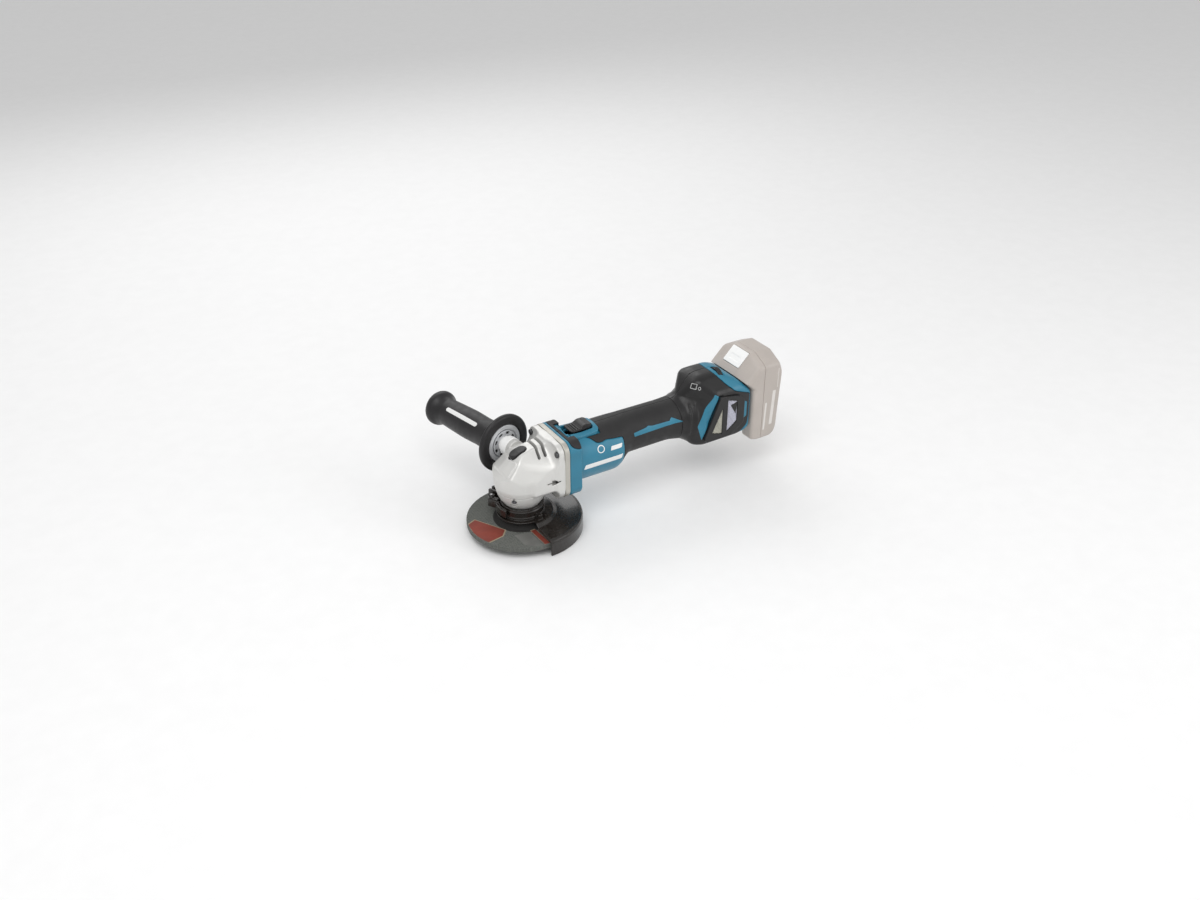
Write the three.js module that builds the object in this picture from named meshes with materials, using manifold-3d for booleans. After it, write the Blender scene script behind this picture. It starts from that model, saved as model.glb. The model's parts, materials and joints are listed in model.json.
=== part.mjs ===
// Cordless 125 mm angle grinder, in millimetres, +Z up.
// The origin is the lower end of the spindle. The spindle runs up +Z, the motor and the grip
// run back along +X to the battery, and the side handle points to +Y.
import * as THREE from 'three';
import Module from 'manifold-3d';
import { mergeGeometries, mergeVertices } from 'three/addons/utils/BufferGeometryUtils.js';

const wasm = await Module();
wasm.setup();

// ---- Driving dimensions ---------------------------------------------------------------

const gap = 0.3;                    // clearance between neighbouring pieces
const round = 24;                   // facets of a large round piece
const small = 16;                   // facets of a small round piece
const tiny = 8;                     // facets of a screw or a pin

const wheelRadius = 62.5;           // 125 mm wheel
const wheelThickness = 6;
const wheelRise = 4.6;              // height of the wheel's raised centre
const wheelBore = 11.2;

const motorZ = 66;                  // height of the motor axis
const gearTeeth = 33;
const pinionTeeth = 10;
const toothModule = 1.4;
const toothFace = 6.5;
const pressureAngle = 20 * Math.PI / 180;

const guardRadius = 67.3;
const guardWall = 1.7;
const guardBottom = -8;
const guardTop = 11.4;
const clampAngle = 120;             // where the guard's clamp sits, in degrees from +X

const neckRadius = 20.3;            // the neck that the guard's band holds
const bowlBottom = 29;
const bowlTop = 46;
const flangeHalf = 34;              // half width of the square motor flange
const flangeFront = 30;
const coverX = 36.8;                // front face of the gear housing cover
const motorX = 43.2;                // front face of the motor housing
const barrelX = 58;                 // where the square flange steps down to the barrel
const barrelRadius = 31;
const barrelEndX = 116;
const gripRadius = 24;
const gripZ = 74.5;
const gripEndX = 188;
const rearX = 286.5;                // rear face that the battery meets
const skin = 2;                     // rubber over the housing
const wall = 2.6;                   // housing wall

const lockX = -10.2;                // shaft lock pin, off the spindle axis
const buttonX = -3.2;               // middle of the lock button
const buttonBottom = 84.6;
const buttonTop = 94;
const springSeat = 77.5;            // floor of the lock spring's bore

const handleX = 9.5;
const handleZ = 80;
const handleLean = 12.9;            // degrees that the side handle leans to the front
const handleFace = 38;              // the handle's flange, along its own axis
const handleEnd = 161;

const shroudX = 196;                // seam between the grip and the rear shroud
const thumb = { x: 58.5, length: 27, bottom: 98.3, top: 103 };
const rodBottom = 89;
const rodTop = 92;
const pivot = { x: 34, y: 9.6 };    // the clamp lever's pin, before the clamp is turned
const screwZ0 = 23.6;

const batteryX = 288;
const batteryRear = 330.5;
const batteryHalf = 37.3;
const batteryBottom = 30;
const batteryTop = 137;
const batterySide = 128;            // height of its top at the sides
const slope = { x: 288, z: 128.5 }; // middle of the battery's sloping face
const railTop = 95;
const railBottom = 48;

// ---- Solids from three.js geometry ----------------------------------------------------

// Keeps position only, welds the vertices, drops empty triangles and turns the faces outwards.
function closed(geometry) {
  geometry.deleteAttribute('normal');
  geometry.deleteAttribute('uv');
  const welded = mergeVertices(geometry, 1e-3);
  const corners = welded.index.array;
  const kept = [];
  let volume = 0;
  const [a, b, c] = [new THREE.Vector3(), new THREE.Vector3(), new THREE.Vector3()];
  for (let i = 0; i < corners.length; i += 3) {
    const [p, q, r] = [corners[i], corners[i + 1], corners[i + 2]];
    if (p === q || q === r || r === p) continue;
    kept.push(p, q, r);
    a.fromBufferAttribute(welded.attributes.position, p);
    b.fromBufferAttribute(welded.attributes.position, q);
    c.fromBufferAttribute(welded.attributes.position, r);
    volume += a.dot(b.cross(c));
  }
  if (volume < 0) kept.reverse();
  welded.setIndex(kept);
  return welded;
}

function toSolid(geometry) {
  const ready = closed(geometry.clone());
  const vertProperties = new Float32Array(ready.attributes.position.array);
  const triVerts = new Uint32Array(ready.index.array);
  return new wasm.Manifold(new wasm.Mesh({ numProp: 3, vertProperties, triVerts }));
}

function toGeometry(solid) {
  const mesh = solid.getMesh();
  const geometry = new THREE.BufferGeometry();
  geometry.setAttribute('position', new THREE.BufferAttribute(mesh.vertProperties, 3));
  geometry.setIndex(new THREE.BufferAttribute(mesh.triVerts, 1));
  return geometry;
}

function join(first, ...others) {
  return toGeometry(others.reduce((solid, other) => solid.add(toSolid(other)), toSolid(first)));
}

function cut(first, ...others) {
  return toGeometry(others.reduce((solid, other) => solid.subtract(toSolid(other)), toSolid(first)));
}

function common(first, ...others) {
  return toGeometry(others.reduce((solid, other) => solid.intersect(toSolid(other)), toSolid(first)));
}

function hull(...shapes) {
  return toGeometry(wasm.Manifold.hull(shapes.map(toSolid)));
}

// ---- Basic shapes ---------------------------------------------------------------------

function box(x0, x1, y0, y1, z0, z1) {
  const geometry = new THREE.BoxGeometry(x1 - x0, y1 - y0, z1 - z0);
  return geometry.translate((x0 + x1) / 2, (y0 + y1) / 2, (z0 + z1) / 2);
}

// A round bar along Z, X or Y, from one station to the other.
function barZ(radius, z0, z1, x = 0, y = 0, facets = small) {
  const geometry = new THREE.CylinderGeometry(radius, radius, z1 - z0, facets);
  return geometry.rotateX(Math.PI / 2).translate(x, y, (z0 + z1) / 2);
}

function barX(radius, x0, x1, y = 0, z = motorZ, facets = small) {
  const geometry = new THREE.CylinderGeometry(radius, radius, x1 - x0, facets);
  return geometry.rotateZ(Math.PI / 2).translate((x0 + x1) / 2, y, z);
}

function barY(radius, y0, y1, x, z, facets = small) {
  const geometry = new THREE.CylinderGeometry(radius, radius, y1 - y0, facets);
  return geometry.translate(x, (y0 + y1) / 2, z);
}

// A turned piece about Z from [radius, height] points.
function turnZ(points, facets = round) {
  const profile = points.map(([r, z]) => new THREE.Vector2(r, z));
  return new THREE.LatheGeometry(profile, facets).rotateX(Math.PI / 2);
}

// A turned piece about the motor axis from [radius, x] points.
function turnX(points, facets = round) {
  return turnZ(points, facets).rotateY(Math.PI / 2).translate(0, 0, motorZ);
}

function ringX(inner, outer, x0, x1, facets = small) {
  return turnX([[inner, x0], [outer, x0], [outer, x1], [inner, x1], [inner, x0]], facets);
}

function ringZ(inner, outer, z0, z1, facets = round) {
  return turnZ([[inner, z0], [outer, z0], [outer, z1], [inner, z1], [inner, z0]], facets);
}

function outline(points) {
  return new THREE.Shape(points.map(([u, v]) => new THREE.Vector2(u, v)));
}

// A plate seen from above, from [x, y] points or a shape.
function plateZ(points, z0, z1) {
  const shape = Array.isArray(points) ? outline(points) : points;
  return new THREE.ExtrudeGeometry(shape, { depth: z1 - z0, bevelEnabled: false, curveSegments: 3 })
    .translate(0, 0, z0);
}

// A slab seen from the side, from [x, z] points, with its long edges chamfered.
function slabY(points, y0, y1, chamfer = 0) {
  const options = { depth: y1 - y0 - 2 * chamfer, bevelEnabled: chamfer > 0, curveSegments: 6 };
  Object.assign(options, { bevelSize: chamfer, bevelThickness: chamfer, bevelOffset: -chamfer });
  options.bevelSegments = 1;
  return new THREE.ExtrudeGeometry(outline(points), options)
    .rotateX(Math.PI / 2)
    .translate(0, y1 - chamfer, 0);
}

// A bar seen from the front, from [y, z] points or a shape.
function slabX(points, x0, x1) {
  const shape = Array.isArray(points) ? outline(points) : points;
  const turn = new THREE.Matrix4().set(0, 0, 1, x0, 1, 0, 0, 0, 0, 1, 0, 0, 0, 0, 0, 1);
  return new THREE.ExtrudeGeometry(shape, { depth: x1 - x0, bevelEnabled: false, curveSegments: 2 })
    .applyMatrix4(turn);
}

function roundedRectangle(u0, u1, v0, v1, radius) {
  const shape = new THREE.Shape();
  shape.moveTo(u0 + radius, v0);
  shape.lineTo(u1 - radius, v0);
  shape.absarc(u1 - radius, v0 + radius, radius, -Math.PI / 2, 0);
  shape.lineTo(u1, v1 - radius);
  shape.absarc(u1 - radius, v1 - radius, radius, 0, Math.PI / 2);
  shape.lineTo(u0 + radius, v1);
  shape.absarc(u0 + radius, v1 - radius, radius, Math.PI / 2, Math.PI);
  shape.lineTo(u0, v0 + radius);
  shape.absarc(u0 + radius, v0 + radius, radius, Math.PI, 1.5 * Math.PI);
  return shape;
}

// A body along X through oval stations [x, centre z, half width, half height].
function loftX(stations, facets = round) {
  const last = stations.length - 1;
  const geometry = new THREE.CylinderGeometry(1, 1, 1, facets, last);
  const position = geometry.attributes.position;
  for (let i = 0; i < position.count; i += 1) {
    const [x, z, halfWidth, halfHeight] = stations[Math.round((0.5 - position.getY(i)) * last)];
    position.setXYZ(i, x, position.getX(i) * halfWidth, z + position.getZ(i) * halfHeight);
  }
  return geometry;
}

// A coil spring about Z.
function coilZ(radius, wire, z0, z1, turns, x = 0, y = 0) {
  const steps = turns * 10;
  const points = [];
  for (let i = 0; i <= steps; i += 1) {
    const angle = i / steps * turns * 2 * Math.PI;
    const z = z0 + wire + (z1 - z0 - 2 * wire) * i / steps;
    points.push(new THREE.Vector3(x + radius * Math.cos(angle), y + radius * Math.sin(angle), z));
  }
  const section = new THREE.Shape();
  section.absarc(0, 0, wire, 0, 2 * Math.PI);
  const extrudePath = new THREE.CatmullRomCurve3(points);
  return new THREE.ExtrudeGeometry(section, { steps, extrudePath, curveSegments: 3 });
}

// ---- Materials and the assembly -------------------------------------------------------

function finish(color, roughness, metalness = 0) {
  return () => new THREE.MeshStandardMaterial({ color, roughness, metalness });
}

const castSilver = finish(0xd9d8d2, 0.4, 0.6);
const steel = finish(0x9a9c9e, 0.3, 0.9);
const darkSteel = finish(0x4a4b4d, 0.4, 0.8);
const blackSteel = finish(0x202022, 0.35, 0.5);
const copper = finish(0xa9673a, 0.4, 0.8);
const teal = finish(0x2f7d93, 0.45);
const rubber = finish(0x2e2e30, 0.75);
const blackPlastic = finish(0x1c1c1e, 0.5);
const palePlastic = finish(0xb8b0a8, 0.55);
const whitePlastic = finish(0xf0efec, 0.45);
const abrasive = finish(0x4b4c48, 0.9);

const grinder = new THREE.Group();

function add(name, geometry, material, parent = grinder) {
  const mesh = new THREE.Mesh(closed(geometry), material());
  mesh.name = name;
  parent.add(mesh);
  return mesh;
}

// ---- Gear head ------------------------------------------------------------------------

const cavityRadius = 24.3;
const cavityTop = 76;
const needleBearing = { inner: 4.2, outer: 6, bottom: 66, top: 75.7 };
const spindleBearing = { inner: 6.2, outer: 16, bottom: 34, top: 44 };
const pinionBearing = { inner: 4.2, outer: 11, front: 25, rear: 32 };
const flangeScrews = [[-29, 90.5], [29, 90.5], [-30, 59], [30, 59]];

function flange(x0, x1, half = flangeHalf) {
  const corner = 12 + half - flangeHalf;
  return slabX(roundedRectangle(-half, half, motorZ - half, motorZ + half, corner), x0, x1);
}

// The silhouette of the head: a round bowl in front, a block behind, under a faceted roof.
function headShape() {
  const bowl = turnZ([
    [0, bowlTop + gap], [28.9, bowlTop + gap], [30.1, 52], [30.8, 62], [31.2, 72], [31.2, 104],
    [0, 104],
  ]);
  const block = box(0, flangeFront + 1, -32.5, 32.5, bowlTop + gap, 104);
  const side = slabY([
    [-33, 40], [-33, 63], [-30.5, 67], [-24, 73.5], [-18.5, 78.5], [-9, 87], [-3, 90.5], [8, 93],
    [flangeFront + 1, 98.5], [flangeFront + 1, 40],
  ], -40, 40);
  const roof = slabX([
    [-34, 40], [-34, 63], [-31, 70.5], [-20, 81.5], [-8, 92], [-5, 100], [5, 100], [8, 92],
    [20, 81.5], [31, 70.5], [34, 63], [34, 40],
  ], -40, 40);
  return common(join(bowl, block), side, roof);
}

function handleBoss(radius, from, to) {
  const geometry = new THREE.CylinderGeometry(radius, radius, to - from, small);
  geometry.translate(0, (from + to) / 2, 0).rotateZ(handleLean * Math.PI / 180);
  return geometry.translate(handleX, 0, handleZ);
}

function gearHousing() {
  const skirt = box(29.4, flangeFront + 1, -30, 30, motorZ - flangeHalf, 60);
  const outer = join(headShape(), flange(flangeFront, coverX - gap), skirt, handleBoss(10.5, 22, 34));
  const arch = barY(9, -50, 50, 20.5, 37);
  const cavity = turnZ([
    [0, 40], [cavityRadius, 40], [cavityRadius, 61], [20, 67.5], [12, cavityTop], [0, cavityTop],
  ]);
  const pinionRoom = barX(9.6, 8, 22, 0, motorZ);
  const boss = barZ(8.4, needleBearing.bottom - 0.3, cavityTop + 1);
  const chamber = cut(join(cavity, pinionRoom), boss);
  const bearingBore = barZ(needleBearing.outer + 0.05, 60, cavityTop);
  const coverBore = barX(14.2, 20, 40, 0, motorZ, round);
  const boltBore = handleBoss(5.4, 27, 50);
  const pinBore = barZ(2.6, 60, 86, lockX);
  const springBore = barZ(4.3, springSeat, 95, lockX);
  const buttonPocket = capsule(10.3, 6.6, buttonBottom - 4.2, 100);
  const slots = [15, 22.5].map((x) => box(x - 1.4, x + 1.4, -19, 19, 80, 104));
  const recesses = flangeScrews.map(([y, z]) => barX(3.6, 20, 31, y, z, tiny));
  const screwHoles = flangeScrews.map(([y, z]) => barX(2.3, 20, 40, y, z, tiny));
  const bowlHoles = bowlScrewPlaces().map(([x, y]) => barZ(1.7, 40, 55, x, y, tiny));
  const lighten = [-1, 1].map((s) => box(28, 40, s * 16 - 5, s * 16 + 5, 84, 93));
  return cut(outer, arch, chamber, bearingBore, coverBore, boltBore, pinBore, springBore,
    buttonPocket, ...slots, ...recesses, ...screwHoles, ...bowlHoles, ...lighten);
}

// An upright oval bar over the lock pin, long along X.
function capsule(halfLength, halfWidth, z0, z1) {
  const shape = new THREE.Shape();
  const straight = halfLength - halfWidth;
  shape.absarc(straight, 0, halfWidth, -Math.PI / 2, Math.PI / 2);
  shape.absarc(-straight, 0, halfWidth, Math.PI / 2, 1.5 * Math.PI);
  return plateZ(shape, z0, z1).translate(buttonX, 0, 0);
}

// The button's top leans with the head's roof.
function lockButton() {
  const top = slabY([[-15, 80], [-15, 86.5], [-4, 91.8], [8, buttonTop], [8, 80]], -10, 10);
  return common(capsule(9.7, 6, buttonBottom, buttonTop), top);
}

function gearHousingCover() {
  const plate = flange(coverX, motorX - gap);
  const boss = barX(14, 24.6, coverX + 1, 0, motorZ, round);
  const seat = barX(pinionBearing.outer + 0.05, 20, pinionBearing.rear + 0.1, 0, motorZ, round);
  const shaftHole = barX(6, 20, 50);
  const screwHoles = flangeScrews.map(([y, z]) => barX(2.3, 30, 50, y, z, tiny));
  const airHoles = [-1, 1].flatMap((s) => [46, 84].map((z) => (
    box(30, 50, s * 18 - 5, s * 18 + 5, z, z + 8)
  )));
  return cut(join(plate, boss), seat, shaftHole, ...screwHoles, ...airHoles);
}

const bowlScrewRadius = 26.6;

function bearingBox() {
  const bore = spindleBearing.outer + 0.05;
  const body = turnZ([
    [neckRadius, 17.5], [neckRadius, bowlBottom], [22.2, bowlBottom + 1.5], [25.2, 35], [27.3, 40],
    [28.8, bowlTop], [bore, bowlTop], [bore, spindleBearing.bottom - 0.1], [10.8, 33.8], [10.8, 29.5],
    [17, 29.5], [17, 17.5], [neckRadius, 17.5],
  ]);
  const holes = bowlScrewPlaces().map(([x, y]) => barZ(1.7, 20, 60, x, y, tiny));
  const recesses = bowlScrewPlaces().map(([x, y]) => barZ(2.9, 20, 42.5, x, y, tiny));
  return cut(body, ...holes, ...recesses);
}

function bowlScrewPlaces() {
  return [45, 135, 225, 315].map((degrees) => {
    const angle = degrees * Math.PI / 180;
    return [bowlScrewRadius * Math.cos(angle), bowlScrewRadius * Math.sin(angle)];
  });
}

function screwZ(headRadius, radius, z0, z1, headHeight, x, y) {
  return join(barZ(radius, z0, z1, x, y, tiny), barZ(headRadius, z0, z0 + headHeight, x, y, tiny));
}

function screwX(headRadius, radius, x0, x1, headHeight, y, z) {
  const socket = barX(headRadius * 0.45, x0 - 1, x0 + headHeight * 0.6, y, z, 6);
  const body = join(barX(radius, x0, x1, y, z, tiny), barX(headRadius, x0, x0 + headHeight, y, z, tiny));
  return cut(body, socket);
}

// ---- Bevel gears ----------------------------------------------------------------------

const gearRadius = gearTeeth * toothModule / 2;
const pinionRadius = pinionTeeth * toothModule / 2;
const coneDistance = Math.hypot(gearRadius, pinionRadius);
const innerScale = 1 - toothFace / coneDistance;
const addendum = toothModule;
const dedendum = 1.2 * toothModule;

const involute = (angle) => Math.tan(angle) - angle;

// Half of a tooth's angle, at a height above the pitch line, on the gear's own axis.
function halfToothAngle(radius, cone, height) {
  const virtual = radius / Math.cos(cone);
  const base = virtual * Math.cos(pressureAngle);
  const thickness = 0.43 * Math.PI * toothModule;
  const at = Math.max(virtual + height, base * 1.0005);
  const flank = involute(pressureAngle) - involute(Math.acos(base / at));
  return (thickness / 2 / virtual + flank) / Math.cos(cone);
}

// One bevel tooth about Z with the cone's apex at the origin and the teeth pointing up from below.
function bevelTooth(radius, cone, turn, steps) {
  const axial = radius / Math.tan(cone);
  const geometry = new THREE.BoxGeometry(1, 1, 1, 1, steps, 1);
  const position = geometry.attributes.position;
  for (let i = 0; i < position.count; i += 1) {
    const height = -dedendum - 0.4 + (position.getY(i) + 0.5) * (addendum + dedendum + 0.4);
    const side = Math.sign(position.getX(i));
    const angle = turn + side * halfToothAngle(radius, cone, height);
    const scale = position.getZ(i) > 0 ? 1 : innerScale;
    const out = (radius + height * Math.cos(cone)) * scale;
    const down = (axial - height * Math.sin(cone)) * scale;
    position.setXYZ(i, out * Math.cos(angle), out * Math.sin(angle), -down);
  }
  return closed(geometry);
}

function bevelTeeth(count, radius, cone, phase, steps) {
  const step = 2 * Math.PI / count;
  const teeth = [];
  for (let i = 0; i < count; i += 1) teeth.push(bevelTooth(radius, cone, (i + phase) * step, steps));
  return mergeGeometries(teeth);
}

// The root cone's outer and inner ends as [radius, distance below the apex].
function rootPoints(radius, cone) {
  const out = radius - dedendum * Math.cos(cone);
  const down = radius / Math.tan(cone) + dedendum * Math.sin(cone);
  return [[out, down], [out * innerScale, down * innerScale]];
}

function bevelGear() {
  const cone = Math.atan(gearTeeth / pinionTeeth);
  const [outer, inner] = rootPoints(gearRadius, cone);
  const blank = turnZ([
    [6.2, -12.4], [15, -12.4], [outer[0] - 1, -outer[1] - 1.6], [outer[0], -outer[1]],
    [inner[0], -inner[1]], [6.2, -inner[1]], [6.2, -12.4],
  ], gearTeeth).rotateZ(Math.PI / 2);
  const holes = [0, 1, 2, 3].map((i) => {
    const angle = i * Math.PI / 2;
    return barZ(2.9, -20, 0, lockX * Math.cos(angle), lockX * Math.sin(angle), tiny);
  });
  return cut(join(blank, bevelTeeth(gearTeeth, gearRadius, cone, 0.5, 1)), ...holes)
    .translate(0, 0, motorZ);
}

function pinion() {
  const cone = Math.atan(pinionTeeth / gearTeeth);
  const [outer, inner] = rootPoints(pinionRadius, cone);
  const blank = turnZ([
    [2.5, -outer[1] - 1.2], [outer[0] + 0.4, -outer[1] - 1.2], [outer[0], -outer[1]],
    [inner[0], -inner[1]], [2.5, -inner[1]], [2.5, -outer[1] - 1.2],
  ], pinionTeeth).rotateZ(Math.PI / 2 + Math.PI / pinionTeeth);
  return join(blank, bevelTeeth(pinionTeeth, pinionRadius, cone, 0, 3))
    .rotateY(-Math.PI / 2)
    .translate(0, 0, motorZ);
}

// ---- Spindle and wheel ----------------------------------------------------------------

function spindle() {
  return turnZ([
    [0, 0], [6.2, 0], [6.9, 1], [6.9, 14.9], [8.4, 15.3], [8.4, 27], [10.2, 27], [10.2, 33.6],
    [6, 33.6], [6, 61.5], [4, 61.5], [4, 75.4], [0, 75.4],
  ], small);
}

function innerFlange() {
  const bottom = wheelThickness + wheelRise;
  return ringZ(7.2, 19.8, bottom + gap, bottom + 4);
}

function grindingWheel() {
  const rise = wheelRise;
  const top = wheelThickness;
  return turnZ([
    [wheelBore, rise], [21.5, rise], [24.5, 0], [wheelRadius, 0], [wheelRadius, top], [28, top],
    [25, top + rise], [wheelBore, top + rise], [wheelBore, rise],
  ], 40);
}

function lockNut() {
  const body = turnZ([
    [7.2, 0.8], [20, 0.8], [20.5, 1.4], [20.5, wheelRise - gap], [wheelBore - gap, wheelRise - gap],
    [wheelBore - gap, wheelRise + 4.5], [7.2, wheelRise + 4.5], [7.2, 0.8],
  ]);
  const pins = [0, 1, 2, 3].map((i) => {
    const angle = (i + 0.5) * Math.PI / 2;
    return barZ(2.4, 0, 3, 15 * Math.cos(angle), 15 * Math.sin(angle), tiny);
  });
  return cut(body, ...pins);
}

// ---- Motor ----------------------------------------------------------------------------

function rotorShaft() {
  return turnX([
    [0, 16.5], [2.3, 16.5], [2.3, 25.1], [4, 25.1], [4, 102], [3.3, 102], [3.3, 110], [0, 110],
  ], small);
}

function fan() {
  const disc = turnX([[4.2, 47], [8, 47], [24, 52.5], [24, 54], [8, 54], [8, 57], [4.2, 57], [4.2, 47]]);
  const blades = [];
  for (let i = 0; i < 9; i += 1) {
    const blade = box(46.5, 52.6, -0.8, 0.8, 12, 23.6);
    blades.push(blade.rotateX(i * 2 * Math.PI / 9).translate(0, 0, motorZ));
  }
  return join(disc, ...blades);
}

function stator() {
  const teeth = [];
  for (let i = 0; i < 6; i += 1) {
    const tooth = box(62, 98, -4, 4, 14, 20);
    const winding = box(59, 100, -6.5, 6.5, 17, 21.5);
    teeth.push(join(tooth, winding).rotateX(i * Math.PI / 3).translate(0, 0, motorZ));
  }
  const rodFlat = box(55, 105, -30, 30, rodBottom - 0.5, 110);
  return cut(join(ringX(19.8, 24.2, 62, 98, round), ...teeth), rodFlat);
}

// ---- Main housing ---------------------------------------------------------------------

// The barrel and the grip, inset by a wall or a skin.
function barrelAndGrip(inset) {
  const r = barrelRadius - inset;
  const g = gripRadius - inset;
  return loftX([
    [barrelX - 6, 67, r, r], [barrelEndX - 4, 67, r, r], [barrelEndX + 2, 69.5, r - 2, r - 2.2],
    [barrelEndX + 9, gripZ, g + 0.5, g + 0.3], [gripEndX - 4, gripZ, g, g],
    [gripEndX + 14, 73, g + 3.5, g + 1.5], [gripEndX + 30, 72, g + 8, g + 4],
  ]);
}

// Half of the rear block's outline from above, low down and at its top: [x, half width].
const rearPlanLow = [[196, 26], [206, 29], [214, 33], [221, 37]];
const rearPlanHigh = [[200, 6], [206, 11], [214, 18], [221, 26], [229, 34], [234, 37]];

function rearPlan(half, inset, z0, z1) {
  const near = half.map(([x, y]) => [x + inset, y - inset]);
  const far = near.map(([x, y]) => [x, -y]).reverse();
  const end = rearX + 1;
  return plateZ(outline([...near, [end, 37 - inset], [end, inset - 37], ...far]), z0, z1);
}

// The block behind the grip that the battery slides onto.
function rearBlock(inset) {
  const i = inset;
  const side = slabY([
    [gripEndX + 12 + i, 60], [gripEndX + 20 + i, 46 + i], [222, 42.5 + i], [270, 43.5 + i],
    [rearX - i, 50 + i], [rearX - i, 99.5 - i], [270.5 - i, 115.5 - i], [252, 126.5 - i],
    [224 + i, 126.5 - i], [214 + i, 120 - i], [206 + i, 109 - i], [gripEndX + 10 + i, 94],
  ], -50, 50);
  const front = slabX([
    [-37 + i, 49 + i], [-31 + i, 42.5 + i], [31 - i, 42.5 + i], [37 - i, 49 + i], [37 - i, 104 - i / 2],
    [14 - i / 2, 126.5 - i], [-14 + i / 2, 126.5 - i], [-37 + i, 104 - i / 2],
  ], gripEndX, rearX + 1);
  const plan = hull(rearPlan(rearPlanLow, i, 30, 68), rearPlan(rearPlanHigh, i, 104, 140));
  return common(side, front, plan);
}

function bodyShape(inset) {
  const square = flange(motorX, barrelX - inset, flangeHalf - inset);
  return join(barrelAndGrip(inset), rearBlock(inset), square);
}

// The side outline of the rubber and black plastic that covers the housing.
function coveredRegion(margin) {
  const m = margin;
  return slabY([
    [46.5 - m, 130], [46.5 - m, 94 - m], [62, 90.5 - m], [80, 89.5 - m], [98, 86.5 - m],
    [barrelEndX - m, 86 - m], [barrelEndX - m, 20], [262, 20], [268 + m, 43], [282 + m, 57],
    [284 + m, 66], [284 + m, 97 + m], [263 + m, 104.5 + m], [253 + m, 114 + m], [243.5 + m, 125.5 + m],
    [238 + m, 137], [238 + m, 160], [190, 160], [190, 110], [120, 110],
  ], -60, 60);
}

const rotorBearing = { inner: 3.5, outer: 9.5, front: 103, rear: 109 };
const dial = { radius: 11, front: 250.5, rear: 256.5, y: -8, z: 115 };
const dustOutline = [
  [240, 105], [268, 100], [275, 92], [275, 63], [257, 50], [222, 50], [219, 55],
];

function switchSlot(y, z0, z1) {
  return box(50.2, 91.8, -y, y, z0, z1);
}

function dialSlot() {
  const slot = barX(dial.radius + 0.8, dial.front - 0.6, dial.rear + 0.6, dial.y, dial.z, round);
  return join(slot, box(dial.front - 0.6, dial.rear + 0.6, dial.y - 4, dial.y + 4, dial.z, 140));
}

function mainHousing() {
  const proud = cut(bodyShape(0), coveredRegion(gap));
  const core = bodyShape(skin + gap);
  const cavity = join(bodyShape(skin + gap + wall), flange(motorX - 5, motorX + 3, 29),
    box(rearX - 12, rearX + 5, -20, 20, railBottom, railTop));
  const bulkhead = barX(27.5, 102, 110, 0, motorZ, round);
  const seat = barX(rotorBearing.outer + 0.1, 102.8, 111, 0, motorZ, round);
  const rodPassage = box(95, 115, -5, 5, rodBottom - 1, 100);
  const bearingSeat = cut(bulkhead, airPassages(), seat, barX(5, 90, 120), rodPassage);
  const shell = cut(join(proud, core), cavity);
  const bosses = flangeScrews.map(([y, z]) => barX(4.4, motorX, 55, y, z, tiny));
  const tubes = housingScrewPlaces.map(([x, z]) => barY(4.4, -34, 34, x, z, tiny));
  const inside = [...bosses, ...tubes].map((post) => common(post, core));
  const threads = flangeScrews.map(([y, z]) => barX(2.3, 40, 54, y, z, tiny));
  const screwHoles = housingScrewPlaces.flatMap(([x, z, head]) => [
    barY(2, -20, 60, x, z, tiny), barY(3.5, head - 2.8, 60, x, z, tiny),
  ]);
  const intakes = [-1, 1].map((s) => box(226, 270, s * 28 - 14, s * 28 + 14, 62, 94));
  const solid = join(shell, bearingSeat, ...inside);
  return cut(solid, ...threads, ...screwHoles, ...intakes, dialSlot(), switchSlot(6.5, 85, 110));
}

// Air passages around the rear bearing.
function airPassages() {
  return cut(ringX(14, 24, 90, 120, round), box(80, 130, -3, 3, 0, 130), box(80, 130, -40, 40, 63, 69));
}

const housingScrewPlaces = [[140, 60, 18.4], [206, 56, 26], [276, 54, 32]];   // x, z, head's y

const leftSide = box(-100, 400, -100, -0.05, -100, 300);
const rightSide = box(-100, 400, 0.05, 100, -100, 300);

function housingScrew([x, z, head]) {
  return join(barY(1.7, -12, head, x, z, tiny), barY(3.2, head - 2.5, head, x, z, tiny));
}

function coveredSkin(x0, x1) {
  const layer = common(cut(bodyShape(0), bodyShape(skin)), coveredRegion(0), box(x0, x1, -60, 60, 0, 200));
  const screwHoles = housingScrewPlaces.map(([x, z]) => barY(3.6, 10, 60, x, z, tiny));
  const windows = [-1, 1].map((s) => slabY(dustOutline, s * 40 - 8, s * 40 + 8));
  return cut(layer, dialSlot(), ...screwHoles, ...windows, switchSlot(16.6, 80, 110));
}

// Shrinks a convex [x, z] outline by a margin, by pulling each corner towards the middle.
function shrunk(points, margin) {
  const middleX = points.reduce((sum, [x]) => sum + x, 0) / points.length;
  const middleZ = points.reduce((sum, [, z]) => sum + z, 0) / points.length;
  return points.map(([x, z]) => [
    x - Math.sign(x - middleX) * margin,
    z - Math.sign(z - middleZ) * margin,
  ]);
}

const dustWindows = [
  [[243.5, 90], [229.5, 60], [243.5, 56]],
  [[250.5, 98], [264, 94], [264, 67], [250.5, 57]],
];

function dustCover(side) {
  const plate = slabY(shrunk(dustOutline, 0.5), side * 36.9 - 1.7, side * 36.9 + 1.7);
  const windows = dustWindows.map((window) => slabY(window, side * 38.6 - 2, side * 38.6 + 2));
  return cut(plate, ...windows);
}

// ---- Switch, electronics and terminals ------------------------------------------------

function switchBezel() {
  const frame = plateZ(roundedRectangle(50.6, 91.4, -16.2, 16.2, 5), 92.2, 100.3);
  const opening = plateZ(roundedRectangle(52.2, 87, -10.4, 10.4, 4), 80, 110);
  return cut(frame, opening, bodyShape(skin));
}

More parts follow.
